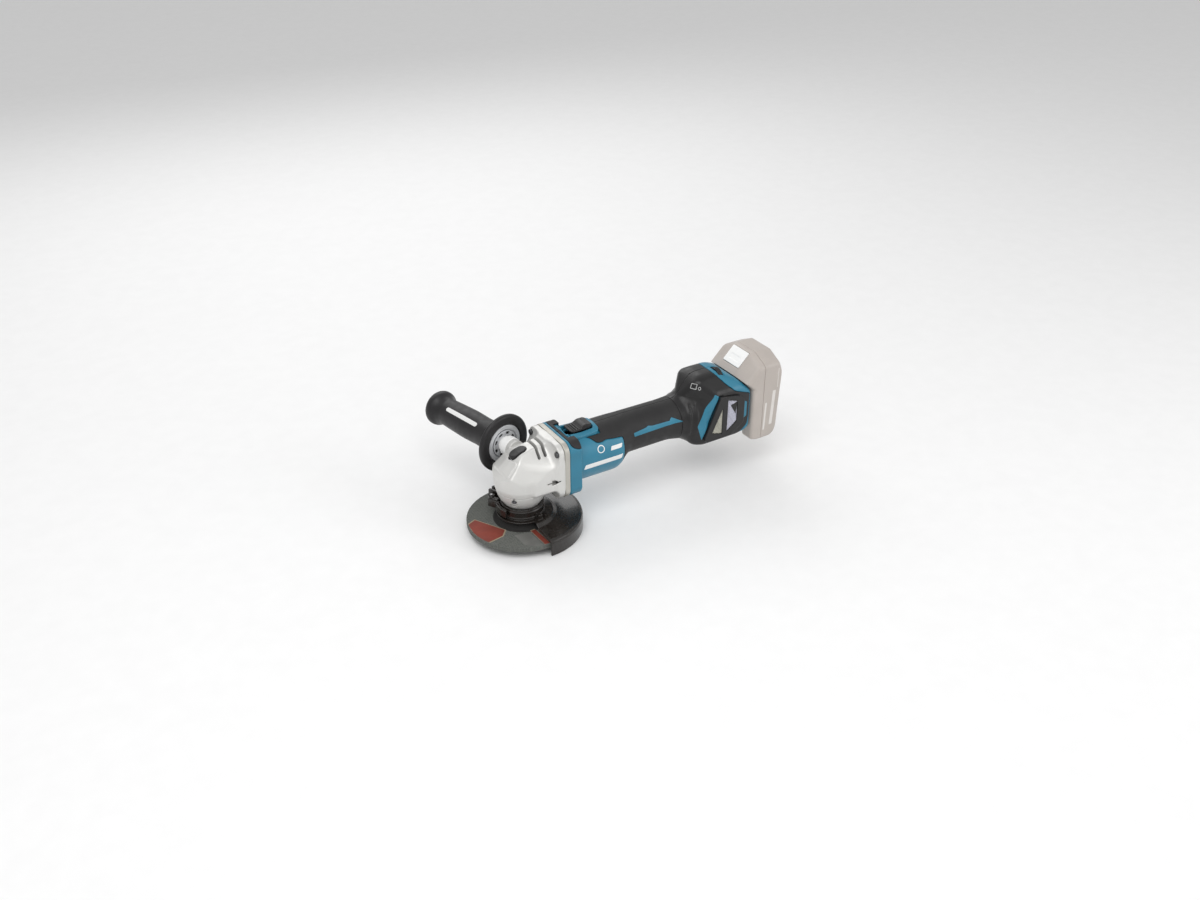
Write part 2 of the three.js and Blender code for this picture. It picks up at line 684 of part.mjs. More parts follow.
function slideButton() {
  const x = thumb.x;
  const cap = plateZ(roundedRectangle(x, x + thumb.length, -9.8, 9.8, 4), thumb.bottom, thumb.top);
  const ribs = [6, 10, 14, 18].map((at) => (
    box(x + at, x + at + 2, -7, 7, thumb.top - 0.5, thumb.top + 1)
  ));
  const stem = box(68, 80, -5.6, 5.6, rodTop + gap, thumb.bottom + 1);
  return join(cap, ...ribs, stem);
}

function slideRod() {
  return join(box(66, 148, -3.4, 3.4, rodBottom, rodTop), box(144, 148, -3.4, 3.4, 80, rodTop));
}

function switchUnit() {
  const body = box(153, 182, -9, 9, 64, 88);
  return join(body, box(150, 154, -3, 3, 72, 78), box(176, 186, -6, 6, 68, 70));
}

function controller() {
  const board = box(206, 242, -17, 17, 62, 84);
  const fins = [0, 1, 2, 3, 4].map((i) => box(208 + 7.5 * i, 210 + 7.5 * i, -14, 14, 83, 89));
  return join(board, ...fins);
}

function speedDial() {
  const wheel = barX(dial.radius, dial.front, dial.rear, dial.y, dial.z, 24);
  return join(wheel, barX(3, dial.front - 4, dial.rear, dial.y, dial.z, tiny));
}

function terminalBlock() {
  const body = box(rearX - 6, rearX + 0.8, -19.6, 19.6, railBottom + 0.4, railTop - 0.4);
  const web = box(rearX + 0.5, 292, -20, 20, railBottom, railTop);
  const rail = box(291.8, 296, -25.5, 25.5, railBottom, railTop);
  return join(body, web, rail);
}

function terminal(side) {
  return box(296.2, 301.5, side * 11 - 0.8, side * 11 + 0.8, 52, 68);
}

// ---- Guard and its clamp --------------------------------------------------------------

// The clamp is drawn at +X and turned to its own angle.
function atClamp(geometry) {
  return geometry.rotateZ(clampAngle * Math.PI / 180);
}

function guard() {
  const r = guardRadius;
  const w = guardWall;
  const band = neckRadius + gap;
  const dish = turnZ([
    [band, 13.4], [band, 28.4], [24.2, 28.4], [24.2, 15.1], [34, 15.1], [38, guardTop],
    [r - 4, guardTop], [r - 1.2, guardTop - 1.2], [r, guardTop - 4], [r, guardBottom],
    [r - w, guardBottom], [r - w, guardTop - 4.6], [r - w - 3, guardTop - 1.7],
    [37.2, guardTop - 1.7], [33.4, 13.4], [band, 13.4],
  ], 36);
  const front = cut(box(-80, -1, -80, 80, -20, 40), barZ(29, -30, 50, 0, 0, round));
  const ears = [-1, 1].map((s) => join(
    box(23.4, 29, s * 3.4 - 1.8, s * 3.4 + 1.8, 17, 28.4),
    box(28.6, 41, s * 3.4 - 1.8, s * 3.4 + 1.8, 17, 31),
  ));
  const slit = box(18, 45, -1.6, 1.6, 16, 40);
  const screwHole = barY(2.3, -20, 20, pivot.x, screwZ0, tiny);
  return cut(join(cut(dish, front), ...ears.map(atClamp)), atClamp(slit), atClamp(screwHole));
}

function clampScrew() {
  const shank = barY(2, -8.5, pivot.y, pivot.x, screwZ0, tiny);
  const nut = barY(4, -8.6, -5.5, pivot.x, screwZ0, 6);
  const eye = barZ(3.2, screwZ0 - 2, screwZ0 + 2, pivot.x, pivot.y, tiny);
  return cut(join(shank, nut, eye), barZ(1.75, 0, 50, pivot.x, pivot.y, tiny));
}

function clampLever() {
  const hub = barZ(3.9, 18.2, 29, pivot.x, pivot.y, 16);
  const arc = cut(ringZ(25.4, 29.2, 18.2, 27.6, round), box(-40, 60, -40, 15, 0, 50),
    box(-40, 3, -40, 40, 0, 50));
  const bridge = slabX([[pivot.y, 18.2], [17.5, 18.2], [17.5, 27.6], [pivot.y, 27.6]], 23, pivot.x);
  const clear = barZ(24.9, 0, 50, 0, 0, round);
  const eyeSlot = barZ(4.2, screwZ0 - 2.3, screwZ0 + 2.3, pivot.x, pivot.y, 16);
  const shankSlot = box(pivot.x - 2.4, pivot.x + 2.4, 4, pivot.y, screwZ0 - 2.3, screwZ0 + 2.3);
  const pinHole = barZ(1.85, 0, 50, pivot.x, pivot.y, tiny);
  const swing = cut(join(hub, bridge, arc), clear, eyeSlot, shankSlot, pinHole);
  return cut(swing, box(20, 50, -10, 5.6, 0, 50));
}

// ---- Side handle, about its own Z axis ------------------------------------------------

function handleRing() {
  const ring = ringZ(9.2, 22, handleFace + 0.6, handleFace + 3.8);
  const holes = [0, 1, 2, 3, 4, 5].map((i) => {
    const angle = i * Math.PI / 3;
    return barZ(2.6, 30, 60, 15.5 * Math.cos(angle), 15.5 * Math.sin(angle), tiny);
  });
  return cut(ring, ...holes);
}

function handleGrip() {
  const f = handleFace;
  const e = handleEnd;
  return turnZ([
    [5.3, f + 4.1], [22.4, f + 4.1], [22.4, f], [32, f], [34, f + 2], [34, f + 5],
    [31, f + 7.5], [20, f + 10], [16.2, f + 18], [17.2, f + 60],
    [15.8, e - 19], [20.4, e - 12], [20.8, e - 7], [18.5, e - 2.5], [12, e],
    [0, e], [0, f + 25], [5.3, f + 25], [5.3, f + 4.1],
  ]);
}

// ---- Battery --------------------------------------------------------------------------

function batteryShape() {
  const side = slabY([
    [batteryX, 33], [batteryX + 9, batteryBottom], [317, batteryBottom], [327, 36],
    [batteryRear, 44], [batteryRear, 128], [325, batteryTop], [296.5, batteryTop], [273.5, 114],
    [batteryX, 99.6],
  ], -batteryHalf, batteryHalf, 3.5);
  const crown = slabX([
    [-batteryHalf, 20], [-batteryHalf, 122], [-34, batterySide], [-16, batteryTop],
    [16, batteryTop], [34, batterySide], [batteryHalf, 122], [batteryHalf, 20],
  ], 260, 340);
  return common(side, crown);
}

const batterySplit = 303;             // seam between the cover and the case
const cellRadius = 9.1;
const cellZ = 79.6;                   // middle cell of the five
const cellPitch = 17.9;

function batteryCase() {
  const half = batteryHalf - 3;
  const shell = common(batteryShape(), box(batterySplit + gap, 400, -60, 60, 0, 200));
  return cut(shell, box(300, batteryRear - 3, -half, half, batteryBottom + 3, batterySide - 2));
}

function batteryCover() {
  const front = common(batteryShape(), box(200, batterySplit, -60, 60, 0, 200));
  const webPocket = box(280, 292, -20.4, 20.4, 0, railTop + 1);
  const railPocket = box(291.4, 296.6, -26, 26, 0, railTop + 1);
  const slots = [-1, 1].map((s) => box(296, 302, s * 11 - 1.8, s * 11 + 1.8, 0, 72));
  return cut(front, webPocket, railPocket, ...slots, onSlope(11.1, 14.9, -7.4, 5));
}

// A block on the sloping face of the battery: half length, half width, depth and height.
function onSlope(halfLength, halfWidth, from, to) {
  const block = box(-halfLength, halfLength, -halfWidth, halfWidth, from, to);
  return block.rotateY(-Math.PI / 4).translate(slope.x, 0, slope.z);
}

function batteryButton(proud) {
  return onSlope(10.8, 14.6, -3.6, proud);
}

function cellPack() {
  const cells = [-2, -1, 0, 1, 2].map((i) => (
    barY(cellRadius, -32.5, 32.5, 314.2, cellZ + i * cellPitch)
  ));
  return join(...cells);
}

// ---- Build the assembly ---------------------------------------------------------------

add('gear_housing', gearHousing(), castSilver);
add('gear_housing_cover', gearHousingCover(), castSilver);
add('bearing_box', bearingBox(), castSilver);
bowlScrewPlaces().forEach(([x, y], i) => {
  add(`bearing_box_screw_${i + 1}`, screwZ(2.6, 1.5, 40, 54, 2.2, x, y), darkSteel);
});
flangeScrews.forEach(([y, z], i) => {
  add(`gear_housing_screw_${i + 1}`, screwX(3.3, 2, 27.6, 53, 3, y, z), darkSteel);
});
add('needle_bearing', ringZ(needleBearing.inner, needleBearing.outer, needleBearing.bottom,
  needleBearing.top, small), steel);
add('spindle_bearing', ringZ(spindleBearing.inner, spindleBearing.outer, spindleBearing.bottom,
  spindleBearing.top), steel);
add('pinion_bearing', ringX(pinionBearing.inner, pinionBearing.outer, pinionBearing.front,
  pinionBearing.rear, round), steel);
add('rotor_bearing', ringX(rotorBearing.inner, rotorBearing.outer, rotorBearing.front,
  rotorBearing.rear, round), steel);

add('spindle', spindle(), steel);
add('bevel_gear', bevelGear(), steel);
add('inner_flange', innerFlange(), steel);
add('grinding_wheel', grindingWheel(), abrasive);
add('lock_nut', lockNut(), darkSteel);
add('rotor_shaft', rotorShaft(), steel);
add('pinion', pinion(), steel);
add('rotor_core', ringX(4.2, 13.3, 62, 98, round), darkSteel);
add('fan', fan(), blackPlastic);
add('stator', stator(), copper);

const housing = mainHousing();
add('housing_left', common(housing, leftSide), teal);
add('housing_right', common(housing, rightSide), teal);
const gripSkin = coveredSkin(40, shroudX - gap);
add('grip_left', common(gripSkin, leftSide), rubber);
add('grip_right', common(gripSkin, rightSide), rubber);
const shroud = coveredSkin(shroudX, rearX + 5);
add('shroud_left', common(shroud, leftSide), blackPlastic);
add('shroud_right', common(shroud, rightSide), blackPlastic);
add('dust_cover_left', dustCover(-1), blackPlastic);
add('dust_cover_right', dustCover(1), blackPlastic);
housingScrewPlaces.forEach((place, i) => {
  add(`housing_screw_${i + 1}`, housingScrew(place), darkSteel);
});
add('switch_bezel', switchBezel(), teal);
add('slide_button', slideButton(), blackPlastic);
add('slide_rod', slideRod(), blackPlastic);
add('switch_unit', switchUnit(), blackPlastic);
add('controller', controller(), darkSteel);
add('speed_dial', speedDial(), blackPlastic);
add('terminal_block', terminalBlock(), blackPlastic);
add('terminal_plus', terminal(-1), copper);
add('terminal_minus', terminal(1), copper);

add('lock_button', lockButton(), blackPlastic);
add('lock_pin', barZ(2.3, 61.6, buttonBottom - gap, lockX), steel);
add('lock_spring', coilZ(3.3, 0.4, springSeat + 0.1, buttonBottom - gap, 3, lockX), steel);

add('guard', guard(), blackSteel);
const clamp = new THREE.Group();
clamp.rotation.z = clampAngle * Math.PI / 180;
grinder.add(clamp);
add('clamp_screw', clampScrew(), steel, clamp);
add('lever_pin', barZ(1.6, 17.6, 29.4, pivot.x, pivot.y, tiny), steel, clamp);
add('clamp_lever', clampLever(), blackSteel, clamp);

const handle = new THREE.Group();
handle.position.set(handleX, 0, handleZ);
handle.rotation.set(-Math.PI / 2, 0, handleLean * Math.PI / 180, 'ZXY');
grinder.add(handle);
add('handle_bolt', turnZ([[0, 27.6], [4, 27.6], [5, 29], [5, 61], [0, 61]], small), steel, handle);
add('handle_spacer', ringZ(5.4, 8.8, 34.4, 41.8, small), whitePlastic, handle);
add('handle_ring', handleRing(), castSilver, handle);
add('handle_grip', handleGrip(), rubber, handle);

add('battery_case', batteryCase(), palePlastic);
add('battery_cover', batteryCover(), palePlastic);
add('cell_pack', cellPack(), darkSteel);
add('battery_button', batteryButton(0.6), whitePlastic);

export default grinder;
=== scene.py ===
"""A cordless angle grinder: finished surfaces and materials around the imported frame.

Each visible piece is a closed mesh drawn where a distance field is zero. The fields are
written in millimetres in the frame of the part, and the meshes are in metres.
"""
import json
import math

import bpy
import numpy as np
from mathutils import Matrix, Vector

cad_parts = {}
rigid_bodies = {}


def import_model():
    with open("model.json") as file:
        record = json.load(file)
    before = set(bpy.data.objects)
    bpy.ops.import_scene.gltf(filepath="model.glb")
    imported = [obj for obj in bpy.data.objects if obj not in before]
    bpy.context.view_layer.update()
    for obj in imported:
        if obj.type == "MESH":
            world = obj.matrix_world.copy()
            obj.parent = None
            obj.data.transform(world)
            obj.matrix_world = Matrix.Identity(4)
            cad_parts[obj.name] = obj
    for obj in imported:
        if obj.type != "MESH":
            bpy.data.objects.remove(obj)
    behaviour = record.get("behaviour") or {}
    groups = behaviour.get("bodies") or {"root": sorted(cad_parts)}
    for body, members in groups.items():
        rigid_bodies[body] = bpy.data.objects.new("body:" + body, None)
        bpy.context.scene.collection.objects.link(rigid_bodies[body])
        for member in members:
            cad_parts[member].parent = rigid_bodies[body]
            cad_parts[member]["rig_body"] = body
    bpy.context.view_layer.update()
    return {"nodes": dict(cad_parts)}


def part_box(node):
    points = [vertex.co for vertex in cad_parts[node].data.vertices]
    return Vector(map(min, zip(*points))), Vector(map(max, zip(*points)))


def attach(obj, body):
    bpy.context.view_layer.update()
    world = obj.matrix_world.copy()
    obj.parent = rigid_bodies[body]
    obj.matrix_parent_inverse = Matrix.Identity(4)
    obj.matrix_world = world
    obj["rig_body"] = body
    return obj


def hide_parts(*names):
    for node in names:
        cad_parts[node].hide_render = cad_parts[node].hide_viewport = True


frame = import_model()

MM = 0.001

# ---- Driving dimensions, in millimetres -----------------------------------------------

MOTOR_Z = 66.0
BARREL_Z = 67.0
BARREL_RADIUS = 31.0
GRIP_RADIUS = 24.0
GRIP_Z = 74.5
FLANGE_HALF = 34.0
FLANGE_CORNER = 12.0
MOTOR_X = 43.2
BARREL_X = 58.0
SHROUD_X = 196.0
SKIN = 2.0
WALL = 2.6
GAP = 0.3
SEAM = 0.08

HANDLE_X = 9.5
HANDLE_Z = 80.0
HANDLE_LEAN = math.radians(12.9)

# Radius inside which the wheel's face is painted near-black: painted shade under the guard's neck.
DARK_CENTRE = 32.5 * MM

CLAMP_ANGLE = math.radians(120)
PIVOT_X = 34.0
PIVOT_Y = 9.6

HANDLE_RADIUS = 16.9        # of the grip, where its bar is printed

DIAL_RADIUS = 11.0
DIAL_Y = -8.0
DIAL_Z = 115.0

BATTERY_X = 288.0
BATTERY_SPLIT = 303.0
BATTERY_HALF = 37.3
BATTERY_SLOPE_Z = 128.5     # middle of the sloping face, above BATTERY_X
DECK = 387.4                # x + z on the battery's face over the deck
RAIL_TOP = 96.0

# Sections of the barrel and the grip: x, centre height, half width, half height.
BODY_SECTIONS = np.array([
    (40, BARREL_Z, BARREL_RADIUS, BARREL_RADIUS),
    (112, BARREL_Z, BARREL_RADIUS, BARREL_RADIUS),
    (118, 69.5, 29, 28.8),
    (125, GRIP_Z, 24.5, 24.3),
    (184, GRIP_Z, GRIP_RADIUS, GRIP_RADIUS),
    (202, 73, 27.5, 25.5),
    (218, 72, 32, 28),
])
REAR_SIDE = [
    (200, 60), (208, 46), (222, 42.5), (270, 43.5), (286.5, 50), (286.5, 99.5),
    (270.5, 115.5), (252, 126.5), (226, 126.5), (217, 120), (209, 109), (199, 94),
]
REAR_FRONT = [
    (-37, 49), (-31, 42.5), (31, 42.5), (37, 49), (37, 104), (14, 126.5), (-14, 126.5), (-37, 104),
]
# Half of the rear block's outline from above, low down and at its top: x, half width.
REAR_PLAN_LOW = np.array([(196, 26), (206, 29), (214, 33), (221, 37), (290, 37)])
REAR_PLAN_HIGH = np.array([
    (203, 6), (209, 11), (217, 18), (225, 26), (233, 34), (238, 37), (290, 37),
])
# The rubber and black plastic over the housing, as seen from the side.
COVERED = [
    (46.5, 150), (46.5, 96.5), (51, 93), (56, 91.5), (61, 92.5), (69.5, 93.6), (77, 91.5),
    (82.6, 86.4), (88, 85.6), (95, 87), (104, 85.8), (116, 84.8), (116, 20), (262, 20),
    (268, 43), (282, 57), (284, 66), (284.4, 97), (263, 104.5), (253, 114), (243.5, 125.5),
    (238, 137), (238, 150),
]
DUST_OUTLINE = [(240, 105), (268, 100), (275, 92), (275, 63), (257, 50), (222, 50), (219, 55)]
DUST_TRIANGLE = [(243.5, 90), (229.5, 60), (243.5, 56)]
DUST_PENTAGON = [(250.5, 98), (264, 94), (264, 67), (250.5, 57)]
BATTERY_SIDE = [
    (288, 33), (297, 30), (318, 30), (324.5, 35), (326.5, 44), (330, 124), (325, 137),
    (296.5, 137), (266, 106.5), (288, 84.5),
]
GRIP_ARROW = [
    (131.5, 83.2), (148, 84.9), (151.5, 86.2), (157, 84.9), (176.5, 84.4), (180.2, 84.2),
    (183.5, 87.4), (197, 80.4), (192.5, 80), (181.7, 79.8), (132, 79),
]
SIDE_STRIPE = [(235, 107.1), (239.5, 104.5), (217.6, 53.2), (212.5, 71.5)]
DUST_SHADE = [(254.9, 90.2), (264.3, 92.8), (262.3, 77.1)]
DUST_SLOT = [(275, 89.6), (280.2, 87), (280.4, 68.7), (275.1, 65.6)]
WHEEL_LABEL = [
    (-60.2, 15), (-49.3, 19.7), (-30, -14.9), (-37.6, -23.6), (-55.9, -26.6), (-62.9, -16.8),
]
WHEEL_STRIPE = [(-7, -31), (-1, -31), (0.5, -66), (-5.5, -66)]
WHEEL_PALE = [(-26.1, -28.4), (-24.8, -51.1), (-10.5, -66), (-7.5, -66), (-9, -34)]

# ---- Distance fields: negative inside -------------------------------------------------


def meet(a, b, r=0.0):
    """What two shapes share, with the edge between them rounded."""
    if r == 0:
        return np.maximum(a, b)
    return np.minimum(np.maximum(a, b), -r) + np.hypot(np.maximum(a + r, 0), np.maximum(b + r, 0))


def fuse(a, b, r=0.0):
    """Two shapes together, with a fillet between them."""
    if r == 0:
        return np.minimum(a, b)
    return np.maximum(np.minimum(a, b), r) - np.hypot(np.maximum(r - a, 0), np.maximum(r - b, 0))


def carve(a, b, r=0.0):
    """The first shape without the second."""
    return meet(a, -b, r)


def between(v, low, high):
    return np.maximum(low - v, v - high)


def eased(corners, reach, steps=4):
    """An outline whose corners are rounded over a reach along both edges."""
    points = []
    for i, here in enumerate(corners):
        corner = Vector(here)
        before = Vector(corners[i - 1]) - corner
        after = Vector(corners[(i + 1) % len(corners)]) - corner
        start = corner + before * min(reach / before.length, 0.48)
        end = corner + after * min(reach / after.length, 0.48)
        for k in range(steps + 1):
            t = k / steps
            points.append(tuple(start * (1 - t) ** 2 + corner * 2 * t * (1 - t) + end * t * t))
    return points


def polygon(u, v, corners):
    """Distance to a closed outline in two coordinates."""
    nearest = None
    side = 1.0
    for (au, av), (bu, bv) in zip(corners, corners[1:] + corners[:1]):
        eu, ev, pu, pv = bu - au, bv - av, u - au, v - av
        t = np.clip((pu * eu + pv * ev) / (eu * eu + ev * ev), 0, 1)
        away = (pu - eu * t) ** 2 + (pv - ev * t) ** 2
        nearest = away if nearest is None else np.minimum(nearest, away)
        above, below, left = v >= av, v < bv, eu * pv > ev * pu
        side = np.where((above & below & left) | ~(above | below | left), -side, side)
    return side * np.sqrt(nearest)


def rectangle(u, v, half_u, half_v, r):
    du = np.abs(u) - half_u + r
    dv = np.abs(v) - half_v + r
    outside = np.hypot(np.maximum(du, 0), np.maximum(dv, 0))
    return outside + np.minimum(np.maximum(du, dv), 0) - r


def block(x, y, z, low, high, r=0.0):
    """A rounded box between two corners."""
    middle = [(a + b) / 2 for a, b in zip(low, high)]
    half = [(b - a) / 2 for a, b in zip(low, high)]
    flat = rectangle(x - middle[0], y - middle[1], half[0], half[1], r)
    return meet(flat, between(z, low[2], high[2]), r)


def rod(u, v, w, at_u, at_v, radius, low, high, r=0.0):
    """A round bar along w."""
    return meet(np.hypot(u - at_u, v - at_v) - radius, between(w, low, high), r)


def stadium(u, v, half_length, half_width):
    """A flat oval with straight sides, long along u."""
    straight = half_length - half_width
    return np.hypot(np.maximum(np.abs(u) - straight, 0), v) - half_width


def capsule(x, y, z, start, end, radius):
    """A round bar with ball ends between two points."""
    sx, sy, sz = (b - a for a, b in zip(start, end))
    px, py, pz = x - start[0], y - start[1], z - start[2]
    t = np.clip((px * sx + py * sy + pz * sz) / (sx * sx + sy * sy + sz * sz), 0, 1)
    return np.sqrt((px - sx * t) ** 2 + (py - sy * t) ** 2 + (pz - sz * t) ** 2) - radius


def along(x, column):
    """A section's value along the body, softened so that the sections flow together."""
    shifts = np.linspace(-6, 6, 9)
    places, values = BODY_SECTIONS[:, 0], BODY_SECTIONS[:, column]
    return sum(np.interp(x + s, places, values) for s in shifts) / len(shifts)


# ---- Meshes from fields ---------------------------------------------------------------


def settled(points, field, step, rounds):
    """The points moved onto the surface along the field's own slope."""
    reach = 0.05
    for _ in range(rounds):
        value = field(*points.T)
        slope = np.empty_like(points)
        for axis in range(3):
            shift = np.zeros(3)
            shift[axis] = reach
            slope[:, axis] = (field(*(points + shift).T) - field(*(points - shift).T)) / (2 * reach)
        steepness = np.maximum((slope ** 2).sum(1), 0.1)
        move = slope * (value / steepness)[:, None]
        length = np.linalg.norm(move, axis=1, keepdims=True)
        points = points - move * np.minimum(1, 0.7 * step / np.maximum(length, 1e-9))
    return points


def relaxed(points, quads):
    """The points moved halfway to the middle of their neighbours."""
    total = np.zeros_like(points)
    count = np.zeros(len(points))
    for turn in (1, 3):
        other = np.roll(quads, turn, axis=1).ravel()
        mine = quads.ravel()
        count += np.bincount(mine, minlength=len(points))
        for axis in range(3):
            total[:, axis] += np.bincount(mine, points[other, axis], len(points))
    return 0.5 * points + 0.5 * total / np.maximum(count, 1)[:, None]


def surface(name, field, low, high, step):
    """A closed mesh of a field, with one point in each grid cell that the surface crosses."""
    axes = [np.arange(a - 2.5 * step, b + 3 * step, step) for a, b in zip(low, high)]
    shape = tuple(len(a) for a in axes)
    grid = np.meshgrid(*[a.astype(np.float32) for a in axes], indexing="ij", sparse=True)
    values = np.broadcast_to(field(*grid), shape)
    inside = values < 0
    cells = tuple(n - 1 for n in shape)
    ends = [(i, j, k) for i in (0, 1) for j in (0, 1) for k in (0, 1)]

    def at_corner(array, corner):
        return array[tuple(slice(c, c + n) for c, n in zip(corner, cells))]

    count = sum(at_corner(inside, c).astype(np.int8) for c in ends)
    crossed = (count > 0) & (count < len(ends))
    cell = np.argwhere(crossed)
    number = np.full(cells, -1, np.int32)
    number[crossed] = np.arange(len(cell))
    total = np.zeros((len(cell), 3))
    crossings = np.zeros(len(cell))
    for start in ends:
        for axis in range(3):
            if start[axis]:
                continue
            end = tuple(1 if k == axis else start[k] for k in range(3))
            a = at_corner(values, start)[crossed]
            b = at_corner(values, end)[crossed]
            cut = (a < 0) != (b < 0)
            share = np.where(cut, a / np.where(cut, a - b, 1), 0)
            for k in range(3):
                total[:, k] += np.where(cut, start[k] + (share if k == axis else 0), 0)
            crossings += cut
    points = np.array([a[0] for a in axes]) + (cell + total / crossings[:, None]) * step
    quads = []
    for axis in range(3):
        order = (axis, (axis + 1) % 3, (axis + 2) % 3)
        solid = np.transpose(inside, order)[:, 1:-1, 1:-1]
        ids = np.transpose(number, order)
        ring = [ids[:, :-1, :-1], ids[:, 1:, :-1], ids[:, 1:, 1:], ids[:, :-1, 1:]]
        leaving = solid[:-1] & ~solid[1:]
        entering = ~solid[:-1] & solid[1:]
        for cut, turn in ((leaving, 1), (entering, -1)):
            quads.append(np.stack([r[cut] for r in ring[::turn]], axis=1))
    quads = np.concatenate(quads)
    points = settled(points, field, step, 2)
    points = settled(relaxed(points, quads), field, step, 2)
    mesh = bpy.data.meshes.new(name)
    mesh.vertices.add(len(points))
    mesh.vertices.foreach_set("co", (points * MM).astype(np.float32).ravel())
    mesh.loops.add(quads.size)
    mesh.loops.foreach_set("vertex_index", quads.astype(np.int32).ravel())
    mesh.polygons.add(len(quads))
    mesh.polygons.foreach_set("loop_start", np.arange(0, quads.size, 4, dtype=np.int32))
    mesh.polygons.foreach_set("use_smooth", np.ones(len(quads), bool))
    mesh.update(calc_edges=True)
    piece = bpy.data.objects.new(name, mesh)
    bpy.context.scene.collection.objects.link(piece)
    return piece


def body_of(node):
    return frame["nodes"][node]["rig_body"]


def dress(piece, finish, body):
    """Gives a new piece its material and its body."""
    piece.data.materials.append(finish)
    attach(piece, body)
    return piece


def build(name, field, nodes, finish, step=0.6):
    """A finished piece in the place of CAD nodes."""
    corners = [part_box(node) for node in nodes]
    low = [min(c[0][k] for c in corners) / MM for k in range(3)]
    high = [max(c[1][k] for c in corners) / MM for k in range(3)]
    piece = surface(name, field, low, high, step * COARSE)
    dress(piece, finish, body_of(nodes[0]))
    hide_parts(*nodes)
    return piece


def extra(name, field, low, high, finish, slot, body="tool", step=0.35):
    """A finished detail that no CAD node stands for."""
    return dress(surface(name, field, low, high, step * COARSE), finish, body)


COARSE = 1.0

# ---- Materials ------------------------------------------------------------------------


class Nodes:
    """A short way to build a material's node tree."""

    def __init__(self, name):
        self.material = bpy.data.materials.new(name)
        self.material.use_nodes = True
        self.tree = self.material.node_tree
        self.shader = self.tree.nodes["Principled BSDF"]
        self.place = self.add("ShaderNodeTexCoord").outputs["Object"]

    def add(self, kind, **settings):
        node = self.tree.nodes.new(kind)
        for key, value in settings.items():
            if hasattr(node, key):
                setattr(node, key, value)
            else:
                node.inputs[key.replace("_", " ")].default_value = value
        return node

    def link(self, output, socket):
        self.tree.links.new(output, socket)

    def noise(self, scale, detail=3.0, stretch=None):
        place = self.place
        if stretch:
            mapping = self.add("ShaderNodeMapping")
            mapping.inputs["Scale"].default_value = stretch
            self.link(place, mapping.inputs["Vector"])
            place = mapping.outputs["Vector"]
        node = self.add("ShaderNodeTexNoise", Scale=scale, Detail=detail)
        self.link(place, node.inputs["Vector"])
        return node.outputs["Fac"]

    def spread(self, value, low, high, from_low=0.3, from_high=0.7):
        node = self.add("ShaderNodeMapRange")
        self.link(value, node.inputs["Value"])
        for socket, number in zip(("From Min", "From Max", "To Min", "To Max"),
                                  (from_low, from_high, low, high)):
            node.inputs[socket].default_value = number
        return node.outputs["Result"]

    def mix_colour(self, factor, first, second):
        """Mixes two colours, each a tuple or an output, by an output."""
        node = self.add("ShaderNodeMix", data_type="RGBA")
        self.link(factor, node.inputs[0])
        for socket, colour in ((node.inputs[6], first), (node.inputs[7], second)):
            if isinstance(colour, tuple):
                socket.default_value = (*colour, 1)
            else:
                self.link(colour, socket)
        return node.outputs[2]

    def bump(self, height, strength, distance, after=None):
        node = self.add("ShaderNodeBump", Strength=strength, Distance=distance)
        self.link(height, node.inputs["Height"])
        if after:
            self.link(after, node.inputs["Normal"])
        return node.outputs["Normal"]


def shade(colour, by):
    return tuple(min(c * by, 1.0) for c in colour)


def moulded(name, colour, rough, grain=1400.0, depth=0.00003, tone=0.12, worn=0.0, metal=0.0,
            coat=0.0, level=0.5, uneven=0.06):
    """Moulded, cast or painted stuff: a fine grain, faint cloudiness and paler worn edges."""
    n = Nodes(name)
    cloud = n.spread(n.noise(45.0, 4.0), 0.0, 1.0)
    tint = n.mix_colour(cloud, shade(colour, 1 - tone), shade(colour, 1 + tone))
    if worn:
        edge = n.add("ShaderNodeNewGeometry").outputs["Pointiness"]
        tint = n.mix_colour(n.spread(edge, 0.0, worn, 0.52, 0.62), tint, shade(colour, 2.2))
    n.link(tint, n.shader.inputs["Base Color"])
    fine = n.noise(grain, 2.0)
    patches = n.spread(n.noise(160.0, 3.0), rough - uneven, rough + uneven)
    n.link(patches, n.shader.inputs["Roughness"])
    n.link(n.bump(fine, 0.6, depth), n.shader.inputs["Normal"])
    n.shader.inputs["Metallic"].default_value = metal
    n.shader.inputs["Coat Weight"].default_value = coat
    n.shader.inputs["Coat Roughness"].default_value = 0.12
    n.shader.inputs["Specular IOR Level"].default_value = level
    return n.material


def machined(name, colour, rough, stretch=(300, 300, 4000)):
    """Turned or ground steel: fine lines one way and slow changes in its shine."""
    n = Nodes(name)
    lines = n.noise(1.0, 2.0, stretch)
    n.link(n.mix_colour(n.spread(lines, 0, 1), shade(colour, 0.8), shade(colour, 1.1)),
           n.shader.inputs["Base Color"])
    n.link(n.spread(n.noise(90.0), rough - 0.06, rough + 0.1), n.shader.inputs["Roughness"])
    n.link(n.bump(lines, 0.4, 0.00002), n.shader.inputs["Normal"])
    n.shader.inputs["Metallic"].default_value = 1.0
    return n.material


